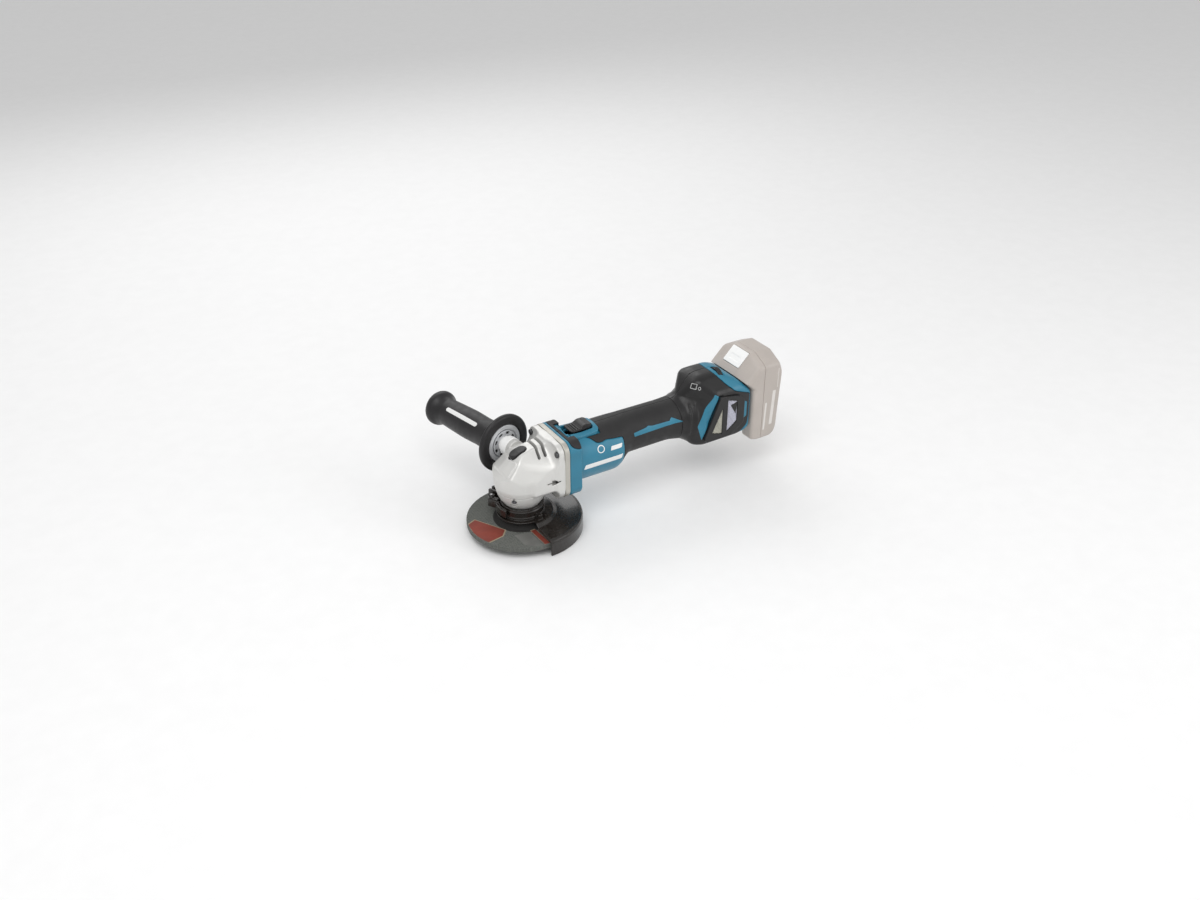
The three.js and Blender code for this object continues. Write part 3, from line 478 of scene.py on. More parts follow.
def grit(name):
    """Resin-bonded grinding wheel: grains, a glass net under the face and a near-black centre,
    painted shade on the raised hub under the guard's neck.
    """
    n = Nodes(name)
    grains = n.add("ShaderNodeTexVoronoi", Scale=1500.0)
    n.link(n.place, grains.inputs["Vector"])
    grain = n.spread(grains.outputs["Distance"], 0.0, 1.0, 0.1, 0.7)
    tint = n.mix_colour(grain, (0.16, 0.165, 0.15), (0.075, 0.08, 0.072))
    split = n.add("ShaderNodeSeparateXYZ")
    n.link(n.place, split.inputs["Vector"])
    net = None
    for axis in ("X", "Y"):
        wave = n.add("ShaderNodeMath", operation="PINGPONG")
        n.link(split.outputs[axis], wave.inputs[0])
        wave.inputs[1].default_value = 1.4 * MM
        thread = n.spread(wave.outputs["Value"], 1.0, 0.0, 0.0, 0.4 * MM)
        if net is None:
            net = thread
        else:
            both = n.add("ShaderNodeMath", operation="MAXIMUM")
            n.link(net, both.inputs[0])
            n.link(thread, both.inputs[1])
            net = both.outputs["Value"]
    faint = n.add("ShaderNodeMath", operation="MULTIPLY")
    n.link(net, faint.inputs[0])
    faint.inputs[1].default_value = 0.35
    tint = n.mix_colour(faint.outputs["Value"], tint, (0.2, 0.205, 0.19))
    length = n.add("ShaderNodeVectorMath", operation="LENGTH")
    flat = n.add("ShaderNodeVectorMath", operation="MULTIPLY")
    n.link(n.place, flat.inputs[0])
    flat.inputs[1].default_value = (1, 1, 0)
    n.link(flat.outputs["Vector"], length.inputs[0])
    # Inside DARK_CENTRE the colour is near-black: painted shade on the hub under the guard's neck.
    centre = n.spread(length.outputs["Value"], 1.0, 0.0, DARK_CENTRE, DARK_CENTRE + MM)
    n.link(n.mix_colour(centre, tint, (0.016, 0.015, 0.014)), n.shader.inputs["Base Color"])
    n.link(n.spread(grain, 0.7, 0.95, 0, 1), n.shader.inputs["Roughness"])
    first = n.bump(net, 0.4, 0.0001)
    n.link(n.bump(grains.outputs["Distance"], 0.7, 0.0002, first), n.shader.inputs["Normal"])
    return n.material


cast_silver = moulded("cast_silver", (0.66, 0.655, 0.635), 0.37, 1800, 0.00004, 0.03, 0.15,
                      metal=0.3, level=0.55)
cover_silver = moulded("cover_silver", (0.5, 0.485, 0.44), 0.42, 1800, 0.00004, 0.05, metal=0.5)
teal = moulded("teal_plastic", (0.023, 0.185, 0.285), 0.36, 1500, 0.00002, 0.07, 0.12)
rubber = moulded("grip_rubber", (0.017, 0.0165, 0.017), 0.56, 1100, 0.00008, 0.15, 0.1, level=0.4)
black = moulded("black_plastic", (0.013, 0.0125, 0.013), 0.36, 1300, 0.00004, 0.15, 0.12, level=0.4)
handle_black = moulded("handle_rubber", (0.013, 0.012, 0.013), 0.42, 1200, 0.00006, 0.15, 0.08,
                       level=0.4)
guard_black = moulded("guard_black", (0.014, 0.011, 0.009), 0.27, 1500, 0.000002, 0.05,
                      coat=0.3, level=0.45, uneven=0.01)
white = moulded("white_plastic", (0.93, 0.93, 0.92), 0.4, 1500, 0.00002, 0.02)
print_white = moulded("print_white", (0.8, 0.8, 0.79), 0.45, 2000, 0.00001, 0.02)
print_grey = moulded("print_grey", (0.5, 0.5, 0.5), 0.5, 2000, 0.00001, 0.05)
battery_plastic = moulded("battery_plastic", (0.46, 0.415, 0.38), 0.42, 1400, 0.00003, 0.04, 0.15)
battery_print = moulded("battery_print", (0.68, 0.65, 0.62), 0.5, 1400, 0.00002, 0.03)
dust_pale = moulded("dust_pale", (0.55, 0.54, 0.46), 0.6, 1800, 0.00003, 0.08)
dust_white = moulded("dust_white", (0.62, 0.62, 0.72), 0.5, 1800, 0.00003, 0.06)
label_red = moulded("label_red", (0.2, 0.034, 0.02), 0.6, 1600, 0.00004, 0.2)
label_beige = moulded("label_beige", (0.3, 0.25, 0.17), 0.6, 1600, 0.00004, 0.1)
label_pale = moulded("label_pale", (0.15, 0.15, 0.14), 0.7, 1600, 0.00006, 0.2)
plate_silver = moulded("handle_plate", (0.58, 0.59, 0.61), 0.34, 1500, 0.00003, 0.1, 0.2, metal=0.5)
steel = machined("shaft_steel", (0.6, 0.6, 0.61), 0.28)
dark_steel = machined("screw_steel", (0.12, 0.12, 0.125), 0.35)
copper = machined("stator_copper", (0.72, 0.36, 0.2), 0.3)
iron = machined("core_iron", (0.2, 0.2, 0.21), 0.45)
abrasive = grit("abrasive")
cell_wrap = moulded("cell_wrap", (0.05, 0.16, 0.1), 0.35, 1000, 0.00002, 0.1)

# ---- Gear head ------------------------------------------------------------------------

FLANGE_SCREWS = [(-29, 90.5), (29, 90.5), (-30, 59), (30, 59)]
HEAD_BOWL = [
    (-9, 46.3), (28.9, 46.3), (30.1, 52), (30.8, 62), (31.2, 72), (31.2, 110), (-9, 110),
]
HEAD_SIDE = eased([
    (-33, 30), (-33, 63), (-30.5, 67), (-18.5, 78.5), (-9, 87), (-3, 90.5), (8, 93), (50, 101.5),
    (50, 30),
], 4)
HEAD_ROOF = eased([
    (-34, 30), (-34, 63), (-31, 70.5), (-20, 81.5), (-8, 92), (-5, 101), (5, 101), (8, 92),
    (20, 81.5), (31, 70.5), (34, 63), (34, 30),
], 4)
NOSE_PANEL = eased([(-27, -5), (-25.5, 17), (-10.5, 14.5), (-14.5, -5)], 2.5)
SLOT_PLACES = (15, 22.5)
LOCK_X = -3.2
HEAD_CHAMBER = [(-30, 40), (24.3, 40), (24.3, 61), (20, 67.5), (12, 76), (-30, 76)]
BUTTON_SIDE = [(-16, 80), (-16, 86.2), (-4, 91.6), (8, 94), (8, 80)]


def square(y, z, half=FLANGE_HALF):
    return rectangle(y, z - MOTOR_Z, half, half, FLANGE_CORNER + half - FLANGE_HALF)


def on_handle(x, y, z):
    """Radius about the side handle's axis, distance along it, and angle about it."""
    ax, ay = -math.sin(HANDLE_LEAN), math.cos(HANDLE_LEAN)
    s = (x - HANDLE_X) * ax + y * ay
    side = (x - HANDLE_X) * ay - y * ax
    return np.hypot(side, z - HANDLE_Z), s, np.arctan2(z - HANDLE_Z, side)


def exhaust_slot(x, y, at):
    bend = 0.004 * y ** 2
    return rectangle(x - at + bend, y, 1.6, 19, 1.5)


def gear_housing(x, y, z):
    bowl = polygon(np.hypot(x, y), z, HEAD_BOWL)
    rear = meet(between(x, 0, 33), between(y, -32.5, 32.5), 2)
    rear = meet(rear, 46.3 - z, 3)
    nose = np.clip((-4 - x) / 12, 0, 1)
    fall = 0.2 * np.maximum(np.abs(y) - 4, 0) * nose
    narrow = 1.0 - 0.28 * np.clip((x + 6) / 34, 0, 1)
    roof = meet(polygon(x, z + fall, HEAD_SIDE), polygon(y * narrow, z, HEAD_ROOF), 1.5)
    facet = 0.8 * np.abs(y) - 0.27 * x + 0.535 * z - 60.6
    roof = meet(roof, facet, 1.2)
    raised = np.clip(-polygon(x, np.abs(y), NOSE_PANEL) / 1.0, 0, 1)
    head = meet(fuse(bowl, rear, 4), roof - 1.2 * raised, 0.8)
    flange = meet(square(y, z), between(x, 29.6, 36.5), 1.4)
    rho, s, _ = on_handle(x, y, z)
    boss = meet(rho - 10.5, between(s, 20, 34), 0.8)
    solid = fuse(meet(fuse(head, flange, 8), square(y, z), 1), boss, 2.5)
    solid = carve(solid, np.hypot(x - 20.5, z - 37) - 9, 1.2)
    for at in SLOT_PLACES:
        solid = carve(solid, meet(exhaust_slot(x, y, at), 79 - z), 0.5)
    for at_y, at_z in FLANGE_SCREWS:
        solid = carve(solid, rod(y, z, x, at_y, at_z, 3.7, 21, 31), 0.6)
        solid = carve(solid, rod(y, z, x, at_y, at_z, 2.3, 15, 60))
    solid = carve(solid, meet(stadium(x - LOCK_X, y, 10.3, 6.6), 80.4 - z), 0.5)
    solid = carve(solid, polygon(np.hypot(x, y), z, HEAD_CHAMBER))
    solid = carve(solid, rod(y, z, x, 0, MOTOR_Z, 14.2, 20, 40))
    return carve(solid, meet(rho - 5.4, 27 - s))


def slot_shade(x, y, z):
    """Black plates at the bottom of the exhaust slots: painted shade where the slots would look
    into the dark head.
    """
    first, second = (exhaust_slot(x, y, at) - 0.6 for at in SLOT_PLACES)
    return meet(np.minimum(first, second), between(z, 77.2, 80.6))


def gear_cover(x, y, z):
    plate = meet(square(y, z), between(x, 36.8, 42.9), 0.7)
    plate = carve(plate, rod(y, z, x, 0, MOTOR_Z, 14, 30, 50))
    for at_y, at_z in FLANGE_SCREWS:
        plate = carve(plate, rod(y, z, x, at_y, at_z, 2.3, 30, 60))
    boss = rod(y, z, x, 0, MOTOR_Z, 14, 24.6, 42.9, 0.5)
    boss = carve(boss, rod(y, z, x, 0, MOTOR_Z, 11.05, 20, 32.1))
    return carve(fuse(plate, boss), rod(y, z, x, 0, MOTOR_Z, 6, 20, 50), 0.3)


BEARING_BOX = eased([
    (20.3, 17.5), (20.3, 29), (22.2, 30.5), (25.2, 35), (27.3, 40), (28.8, 46), (16.05, 46),
    (16.05, 33.9), (10.8, 33.8), (10.8, 29.5), (17, 29.5), (17, 17.5),
], 0.9)
BOWL_SCREWS = [(26.6 * math.cos(a), 26.6 * math.sin(a)) for a in np.radians((45, 135, 225, 315))]


def bearing_box(x, y, z):
    rho = np.hypot(x, y)
    solid = polygon(rho, z, BEARING_BOX)
    for at_x, at_y in BOWL_SCREWS:
        solid = carve(solid, rod(x, y, z, at_x, at_y, 2.9, 20, 42.5), 0.3)
        solid = carve(solid, rod(x, y, z, at_x, at_y, 1.7, 20, 60))
    turn = math.radians(-140)
    across = y * math.cos(turn) - x * math.sin(turn)
    outward = x * math.cos(turn) + y * math.sin(turn)
    notch = meet(rectangle(across, z - 34.5, 3.4, 1.5, 0.7), 21.5 - outward)
    return carve(solid, notch, 0.4)


def flange_screw(at_y, at_z):
    def field(x, y, z):
        head = rod(y, z, x, at_y, at_z, 3.3, 27.6, 30.6, 0.5)
        u, v = y - at_y, z - at_z
        slanted = np.maximum(np.abs(u * 0.5 + v * 0.866), np.abs(u * 0.5 - v * 0.866))
        socket = np.maximum(np.abs(u), slanted) - 1.6
        head = carve(head, meet(socket, x - 29.6), 0.1)
        return fuse(head, rod(y, z, x, at_y, at_z, 2, 27.6, 53, 0.3))
    return field


def lock_button(x, y, z):
    oval = stadium(x - LOCK_X, y, 9.7, 6)
    solid = meet(meet(oval, 84.6 - z), polygon(x, z, BUTTON_SIDE), 1.0)
    dish = np.sqrt((x - LOCK_X + 3) ** 2 + y ** 2 + (z - 107) ** 2) - 15.6
    return carve(solid, dish, 0.4)


# ---- Wheel, guard and clamp -----------------------------------------------------------

WHEEL_PROFILE = eased([
    (11.2, 4.6), (21.5, 4.6), (24.5, 0), (62.5, 0), (62.5, 6), (28, 6), (25, 10.6), (11.2, 10.6),
], 0.7)


def wheel(x, y, z):
    return polygon(np.hypot(x, y), z, WHEEL_PROFILE)


PRINT_BOTTOM = 5.0          # inside the wheel, so that only the top of a patch shows


def wheel_print(outline, low, high):
    """A thin printed patch on the wheel's upper face."""
    soft = eased(outline, 1.0, 2)

    def field(x, y, z):
        patch = meet(polygon(x, y, soft), np.hypot(x, y) - 61.6)
        return meet(patch, between(z, low, high), 0.04)
    return field


def inner_flange(x, y, z):
    rho = np.hypot(x, y)
    ring = meet(between(rho, 7.2, 19.8), between(z, 10.9, 14.6), 0.5)
    return carve(ring, meet(between(rho, 12, 16.5), 14 - z), 0.2)


def lock_nut(x, y, z):
    rho = np.hypot(x, y)
    nut = meet(between(rho, 7.2, 20.5), between(z, 0.8, 4.3), 0.7)
    nut = fuse(nut, meet(between(rho, 7.2, 10.9), between(z, 0.8, 9.1), 0.3))
    for k in range(4):
        angle = (k + 0.5) * math.pi / 2
        nut = carve(nut, rod(x, y, z, 15 * math.cos(angle), 15 * math.sin(angle), 2.4, 0, 3), 0.3)
    return nut


GUARD_PROFILE = eased([
    (20.6, 13.4), (20.6, 28.4), (24.2, 28.4), (24.2, 15.1), (34, 15.1), (38, 11.4),
    (63.3, 11.4), (66.1, 10.2), (67.3, 7.4), (67.3, -8), (65.6, -8), (65.6, 6.8),
    (62.6, 9.7), (37.2, 9.7), (33.4, 13.4),
], 0.5, 2)


def at_clamp(x, y):
    """The coordinates in the clamp's own frame, where it sits at +X."""
    c, s = math.cos(CLAMP_ANGLE), math.sin(CLAMP_ANGLE)
    return x * c + y * s, y * c - x * s


def guard(x, y, z):
    rho = np.hypot(x, y)
    dish = polygon(rho, z, GUARD_PROFILE)
    dish = carve(dish, meet(x + 1, 29 - rho), 0.4)
    for height in (17.4, 24.8):
        dish = fuse(dish, np.hypot(rho - 24.1, z - height) - 0.75, 0.3)
    tab = block(x, y, z, (4.5, -29.5, 13), (9.5, -24, 21), 0.8)
    dish = fuse(dish, tab, 0.8)
    u, v = at_clamp(x, y)
    for side in (-1, 1):
        dish = fuse(dish, block(u, v - side * 3.4, z, (23.4, -1.8, 17), (29, 1.8, 28.4), 0.5), 0.5)
        dish = fuse(dish, block(u, v - side * 3.4, z, (28.6, -1.8, 17), (41, 1.8, 31), 0.7), 0.5)
    dish = carve(dish, block(u, v, z, (18, -1.6, 16), (45, 1.6, 40)), 0.2)
    return carve(dish, np.hypot(u - PIVOT_X, z - 23.6) - 2.3)


def clamp_lever(x, y, z):
    u, v = at_clamp(x, y)
    rho = np.hypot(u, v)
    hub = rod(u, v, z, PIVOT_X, PIVOT_Y, 3.9, 18.2, 29, 0.7)
    arc = meet(meet(between(rho, 25.4, 29.2), between(z, 18.2, 27.6), 0.8), 15 - v, 0.6)
    arc = meet(arc, 3 - u, 0.8)
    bridge = block(u, v, z, (23, PIVOT_Y, 18.2), (PIVOT_X, 17.5, 27.6), 0.8)
    swing = carve(fuse(fuse(hub, bridge, 0.8), arc, 1.0), rho - 24.9, 0.3)
    eye = meet(np.hypot(u - PIVOT_X, v - PIVOT_Y) - 4.2, between(z, 21.3, 25.9))
    slot = block(u, v, z, (PIVOT_X - 2.4, 4, 21.3), (PIVOT_X + 2.4, PIVOT_Y, 25.9))
    swing = carve(carve(swing, eye), slot)
    swing = carve(swing, np.hypot(u - PIVOT_X, v - PIVOT_Y) - 1.85)
    return carve(swing, np.maximum(v - 5.6, 20 - u))


# ---- Side handle ----------------------------------------------------------------------

HANDLE_PROFILE = eased([
    (5.3, 42.1), (22.4, 42.1), (22.4, 38), (32, 38), (34, 40), (34, 43), (31, 45.5),
    (21, 48.2), (17.2, 56), (16.6, 75), (17.3, 98), (16.6, 120), (15.8, 138), (17.4, 144),
    (20.4, 149), (20.8, 154), (18.5, 158.5), (12, 161), (-4, 161), (-4, 63), (5.3, 63),
], 2.0, 3)


def handle_grip(x, y, z):
    rho, s, _ = on_handle(x, y, z)
    solid = polygon(rho, s, HANDLE_PROFILE)
    return carve(solid, np.hypot(rho - 34.4, s - 41.6) - 0.9, 0.3)


def handle_ring(x, y, z):
    rho, s, angle = on_handle(x, y, z)
    ring = meet(between(rho, 9.2, 22), between(s, 38.6, 41.8), 0.5)
    ring = carve(ring, meet(between(rho, 15.6, 17.4), s - 40.2), 0.25)
    pitch = math.pi / 4
    local = (angle + math.pi) % pitch - pitch / 2
    slot = meet(rectangle(rho - 12.8, local * 12.8, 1.6, 2.6, 1.2), s - 41)
    ring = carve(ring, slot, 0.25)
    return ring


def ring_shade(x, y, z):
    """The dark space behind the slots of the ring."""
    rho, s, _ = on_handle(x, y, z)
    return meet(between(rho, 10, 16), between(s, 40, 41.4), 0.2)


def boss_collar(x, y, z):
    """A white sleeve over the end of the handle's boss."""
    rho, s, _ = on_handle(x, y, z)
    return meet(between(rho, 9.5, 11.2), between(s, 26, 34.3), 0.4)


def handle_spacer(x, y, z):
    rho, s, _ = on_handle(x, y, z)
    solid = meet(between(rho, 5.4, 8.8), between(s, 34.4, 41.8), 0.5)
    return carve(solid, np.hypot(rho - 9.3, s - 36.6) - 0.8, 0.2)


# ---- Main housing ---------------------------------------------------------------------

REAR_SIDE_SOFT = eased(REAR_SIDE, 6)
REAR_FRONT_SOFT = eased(REAR_FRONT, 7)
COVERED_SOFT = eased(COVERED, 2.4, 3)
HOUSING_SCREWS = [(140, 60, 18.4), (206, 56, 26), (276, 54, 32)]


def rear_width(x, z):
    """Half width of the rear block, which narrows to a nose towards the grip and the top."""
    low = np.interp(x, REAR_PLAN_LOW[:, 0], REAR_PLAN_LOW[:, 1])
    high = np.interp(x, REAR_PLAN_HIGH[:, 0], REAR_PLAN_HIGH[:, 1])
    return low + (high - low) * np.clip((z - 66) / 36, 0, 1)


def ridges(x, y, z):
    """Two soft upright ridges with a hollow between, where the grip widens."""
    line = (x - 209.5) - 0.16 * (z - 80)
    height = np.clip((z - 58) / 8, 0, 1) * np.clip((103 - z) / 8, 0, 1)
    wave = np.exp(-((line + 4) / 2) ** 2) + np.exp(-((line - 4) / 2) ** 2)
    fade = np.clip((np.abs(y) - 14) / 6, 0, 1)
    return (0.9 * wave - 0.7 * np.exp(-(line / 2.4) ** 2)) * height * fade


def tool_body(x, y, z):
    """The outer shape of the motor housing, the grip and the rear block."""
    centre, wide, tall = along(x, 1), along(x, 2), along(x, 3)
    oval = (np.hypot(y / wide, (z - centre) / tall) - 1) * np.minimum(wide, tall)
    oval = meet(oval, between(x, 50, 224), 2)
    rear = meet(polygon(x, z, REAR_SIDE_SOFT), polygon(y, z, REAR_FRONT_SOFT), 5)
    rear = meet(rear, (np.abs(y) - rear_width(x, z)) * 0.75, 5)
    flange = meet(square(y, z), between(x, MOTOR_X, BARREL_X), 1.0)
    return fuse(fuse(oval, rear, 5) - ridges(x, y, z), flange, 1.2)


def cover_outline(x, z):
    return polygon(x, z, COVERED_SOFT)


def dial_slot(x, y, z):
    wheel_slot = rod(y, z, x, DIAL_Y, DIAL_Z, DIAL_RADIUS + 0.8, 249.9, 257.1)
    opening = block(x, y, z, (249.9, DIAL_Y - 6, DIAL_Z), (257.1, DIAL_Y + 6, 140))
    return fuse(wheel_slot, opening)


def half(y, side):
    return side * -y + SEAM


def housing(side):
    def field(x, y, z):
        body = tool_body(x, y, z)
        proud = carve(body, cover_outline(x, z) - GAP, 0.5)
        core = body + SKIN + GAP
        solid = fuse(proud, core, 0.3)
        hollow = body + SKIN + GAP + WALL
        hollow = fuse(hollow, meet(square(y, z, 29), between(x, 38, 46.2)))
        solid = carve(solid, hollow)
        solid = carve(solid, block(x, y, z, (274, -20, 48), (292, 20, 95)))
        solid = carve(solid, dial_slot(x, y, z))
        solid = carve(solid, block(x, y, z, (50.2, -6.5, 85), (91.8, 6.5, 110)))
        return meet(solid, half(y, side), 0.35)
    return field


def skin_piece(side, x0, x1, edge):
    def field(x, y, z):
        body = tool_body(x, y, z)
        solid = meet(body, cover_outline(x, z), edge)
        solid = meet(solid, between(x, x0, x1), 0.4)
        solid = carve(solid, body + SKIN)
        for at_x, at_z, _ in HOUSING_SCREWS:
            hole = rod(x, z, y, at_x, at_z, 3.6, 10, 60)
            solid = carve(solid, hole, 0.4)
        window = meet(polygon(x, z, DUST_HOLE), 33 - np.abs(y))
        solid = carve(solid, window, 0.4)
        solid = carve(solid, dial_slot(x, y, z), 0.3)
        solid = carve(solid, block(x, y, z, (50.2, -16.6, 80), (91.8, 16.6, 110)))
        return meet(solid, half(y, side), 0.3)
    return field




def inset(corners, margin):
    """A convex outline moved inwards by a margin at each edge, corner by corner."""
    middle = sum((Vector(c) for c in corners), Vector((0, 0))) / len(corners)
    moved = []
    for c in corners:
        arm = Vector(c) - middle
        moved.append(tuple(middle + arm * (1 - margin / arm.length)))
    return moved


def grown(corners, margin):
    return inset(corners, -margin)


DUST_FRAME = eased(inset(DUST_OUTLINE, 0.3), 2.0, 2)
DUST_HOLE = eased(inset(DUST_OUTLINE, 1.2), 2.0, 2)


def dust_cover(side):
    def field(x, y, z):
        out = side * y
        solid = meet(polygon(x, z, DUST_FRAME), between(out, 35.2, 38.6), 0.8)
        for window in (DUST_TRIANGLE, DUST_PENTAGON):
            solid = carve(solid, meet(polygon(x, z, eased(window, 1.2, 2)), 36.8 - out), 0.35)
        return solid
    return field


def dust_screen(side, window, slant=0.0):
    """A fine perforated plate behind a window of the dust cover."""
    outline = eased(inset(window, 0.5), 1.0, 2)
    pitch = 1.7

    def field(x, y, z):
        out = side * y
        plate = meet(polygon(x, z, outline), between(out, 36.9, 37.7))
        u = (x * math.cos(slant) + z * math.sin(slant)) % pitch - pitch / 2
        v = (z * math.cos(slant) - x * math.sin(slant)) % pitch - pitch / 2
        return carve(plate, rectangle(u, v, 0.55, 0.55, 0.2))
    return field


def on_surface(field, mark, above, below):
    """A thin plate that follows a surface wherever the mark's field is negative."""
    def made(x, y, z):
        body = field(x, y, z)
        return carve(meet(body - above, mark(x, y, z), 0.1), body + below)
    return made


def inlay(field, outline, above, below):
    """A thin plate that follows a surface inside an outline seen from the side."""
    soft = eased(outline, 0.8, 2)
    return on_surface(field, lambda x, y, z: polygon(x, z, soft) + 0 * y, above, below)


def ring_badge(x, y, z):
    return np.abs(np.hypot(x - 85.4, (z - 79.7) * 1.1) - 4) - 0.6 + 0 * y


def slanted_bar(x0, x1, z0, z1):
    lean = 0.35 * min(x1 - x0, z1 - z0)
    corners = eased([(x0, z0), (x1 - lean, z0), (x1, z1), (x0 + lean, z1)], 0.8, 2)
    return lambda x, y, z: polygon(x, z, corners) + 0 * y


def charge_icon(x, y, z):
    """An outlined square and a small circle on the hump's slope."""
    u = (x - 215) * 0.42 - (y + 17) * 0.9 - (z - 117) * 0.08
    v = -(x - 215) * 0.49 - (y + 17) * 0.3 - (z - 117) * 0.82
    screen = np.abs(rectangle(u, v, 3.3, 2.8, 0.5)) - 0.45
    lamp = np.abs(np.hypot((u - 6.8) * 1.3, v - 1) - 1.6) - 0.4
    return np.minimum(screen, lamp)


def handle_bar(x, y, z):
    rho, s, angle = on_handle(x, y, z)
    return stadium(s - 101, (angle - math.radians(129)) * HANDLE_RADIUS, 27, 2.5)


def one_side(field, side):
    return lambda x, y, z: np.maximum(field(x, y, z), 2 - side * y)


# ---- Switch, dial and battery ---------------------------------------------------------


def switch_bezel(x, y, z):
    plan = rectangle(x - 71, y, 20.4, 16.2, 5.5)
    crown = np.hypot(y, z - 59.3) - 41
    waist = 1.2 * np.exp(-((x - 70) / 12) ** 2)
    solid = meet(meet(plan, crown + waist, 1.0), 92.2 - z)
    opening = rectangle(x - 69.6, y, 17.4, 10.4, 4)
    solid = carve(solid, opening, 0.8)
    return carve(solid, tool_body(x, y, z) + SKIN)


def slide_button(x, y, z):
    cap = meet(rectangle(x - 72, y, 13.5, 9.8, 4), between(z, 98.3, 103), 1.0)
    crown = np.hypot(x - 66, z - 133) - 33
    cap = carve(cap, crown, 1.5)
    hump = np.hypot((x - 77.5) / 1.6, z - 99.8) - 3.9
    cap = fuse(cap, meet(hump, meet(np.abs(y) - 8.8, 98.5 - z), 1.0), 1.5)
    for k in range(4):
        at = 62.5 + 3 * k
        cap = fuse(cap, capsule(x, y, z, (at, -6.8, 100.6), (at, 6.8, 100.6), 0.6), 0.4)
    return fuse(cap, block(x, y, z, (68, -5.6, 92.3), (80, 5.6, 99), 0.3))


def speed_dial(x, y, z):
    u, v = y - DIAL_Y, z - DIAL_Z
    rho = np.hypot(u, v)
    pitch = math.pi / 14
    local = np.arctan2(v, u) % pitch - pitch / 2
    notch = np.maximum(0, 1 - np.abs(local * DIAL_RADIUS) / 0.6)
    edge = rho - DIAL_RADIUS + 0.45 * notch
    disc = meet(edge, between(x, 250.5, 256.5), 0.5)
    return fuse(disc, rod(y, z, x, DIAL_Y, DIAL_Z, 3, 246.5, 256.5, 0.3))


BATTERY_SOFT = eased(BATTERY_SIDE, 4)


def battery_shape(x, y, z):
    """The battery's block, whose top and slope fall away to both sides."""
    fall = 0.5 * np.maximum(np.abs(y) - 16, 0) * np.clip((z - 72) / 30, 0, 1)
    clear_of_deck = np.minimum(DECK - x - z, BATTERY_X - x)
    side = meet(polygon(x, z + fall, BATTERY_SOFT), clear_of_deck)
    return meet(side, between(y, -BATTERY_HALF, BATTERY_HALF), 4)


def battery_case(x, y, z):
    shape = battery_shape(x, y, z)
    solid = meet(shape, BATTERY_SPLIT + GAP - x, 0.6)
    for at in (48, 60, 72):
        solid = carve(solid, meet(rectangle(y, z - at, 26, 2.2, 2), -0.6 - shape), 0.3)
    return carve(solid, shape + WALL)


def slope(x, z):
    """Coordinates along and out of the battery's sloping face."""
    c = math.sqrt(0.5)
    u, w = x - BATTERY_X, z - BATTERY_SLOPE_Z
    return (u + w) * c, (w - u) * c


def battery_cover(x, y, z):
    solid = meet(battery_shape(x, y, z), x - BATTERY_SPLIT, 0.6)
    solid = carve(solid, block(x, y, z, (270, -20.4, 0), (292, 20.4, RAIL_TOP)), 0.4)
    solid = carve(solid, block(x, y, z, (291.4, -26, 0), (296.6, 26, RAIL_TOP)), 0.3)
    for side in (-1, 1):
        solid = carve(solid, block(x, y, z, (296, side * 11 - 1.8, 0), (302, side * 11 + 1.8, 72)))
    u, w = slope(x, z)
    pocket = meet(rectangle(u, y, 11, 14.8, 1.5), -7.4 - w)
    return carve(solid, pocket, 0.5)


def battery_button(x, y, z):
    u, w = slope(x, z)
    solid = meet(rectangle(u, y, 10.7, 14.5, 1.4), between(w, -3.6, 0.6), 0.6)
    return carve(solid, meet(rectangle(u + 2, y, 3.2, 9, 1.5), 0.1 - w), 0.3)


# ---- Camera, light and floor ----------------------------------------------------------

CAMERA_PLACE = (-507.1, -989.6, 758.3)
CAMERA_AZIMUTH = math.radians(-31.58)
CAMERA_ELEVATION = math.radians(31.04)


def make_camera():
    data = bpy.data.cameras.new("camera")
    data.sensor_width = 36
    data.lens = 36
    data.clip_end = 50
    camera = bpy.data.objects.new("camera", data)
    level = math.cos(CAMERA_ELEVATION)
    back = Vector((math.sin(CAMERA_AZIMUTH) * level, -math.cos(CAMERA_AZIMUTH) * level,
                   math.sin(CAMERA_ELEVATION)))
    camera.location = Vector(CAMERA_PLACE) * MM
    camera.rotation_euler = (-back).to_track_quat("-Z", "Y").to_euler()
    bpy.context.scene.collection.objects.link(camera)
    bpy.context.scene.camera = camera


def softbox(name, place, target, size, watts):
    data = bpy.data.lights.new(name, "AREA")
    data.shape = "RECTANGLE"
    data.size, data.size_y = size
    data.energy = watts
    lamp = bpy.data.objects.new(name, data)
    lamp.location = place
    lamp.rotation_euler = (Vector(target) - Vector(place)).to_track_quat("-Z", "Y").to_euler()
    bpy.context.scene.collection.objects.link(lamp)


def make_studio():
    middle = (0.13, 0, 0.06)
    softbox("key_light", (-0.5, -0.6, 1.5), middle, (1.4, 1.0), 12)
    softbox("side_light", (1.3, -1.3, 0.8), middle, (1.0, 1.0), 7)
    softbox("back_light", (0.3, 1.4, 1.1), middle, (1.6, 0.7), 7)
    world = bpy.data.worlds.new("studio")
    world.use_nodes = True
    background = world.node_tree.nodes["Background"]
    background.inputs["Color"].default_value = (1, 1, 1, 1)
    background.inputs["Strength"].default_value = 0.6
    bpy.context.scene.world = world
    bpy.context.scene.view_settings.view_transform = "Standard"
    mesh = bpy.data.meshes.new("floor")
    reach = 30
    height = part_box("guard")[0].z - 0.0004
    mesh.from_pydata([(-reach, -reach, height), (reach, -reach, height), (reach, reach, height),
                      (-reach, reach, height)], [], [(0, 1, 2, 3)])
    floor = bpy.data.objects.new("floor", mesh)
    floor.data.materials.append(moulded("floor", (0.9, 0.9, 0.9), 0.8, 50, 0.00001, 0.01))
    bpy.context.scene.collection.objects.link(floor)


# ---- The CAD nodes that stay ----------------------------------------------------------

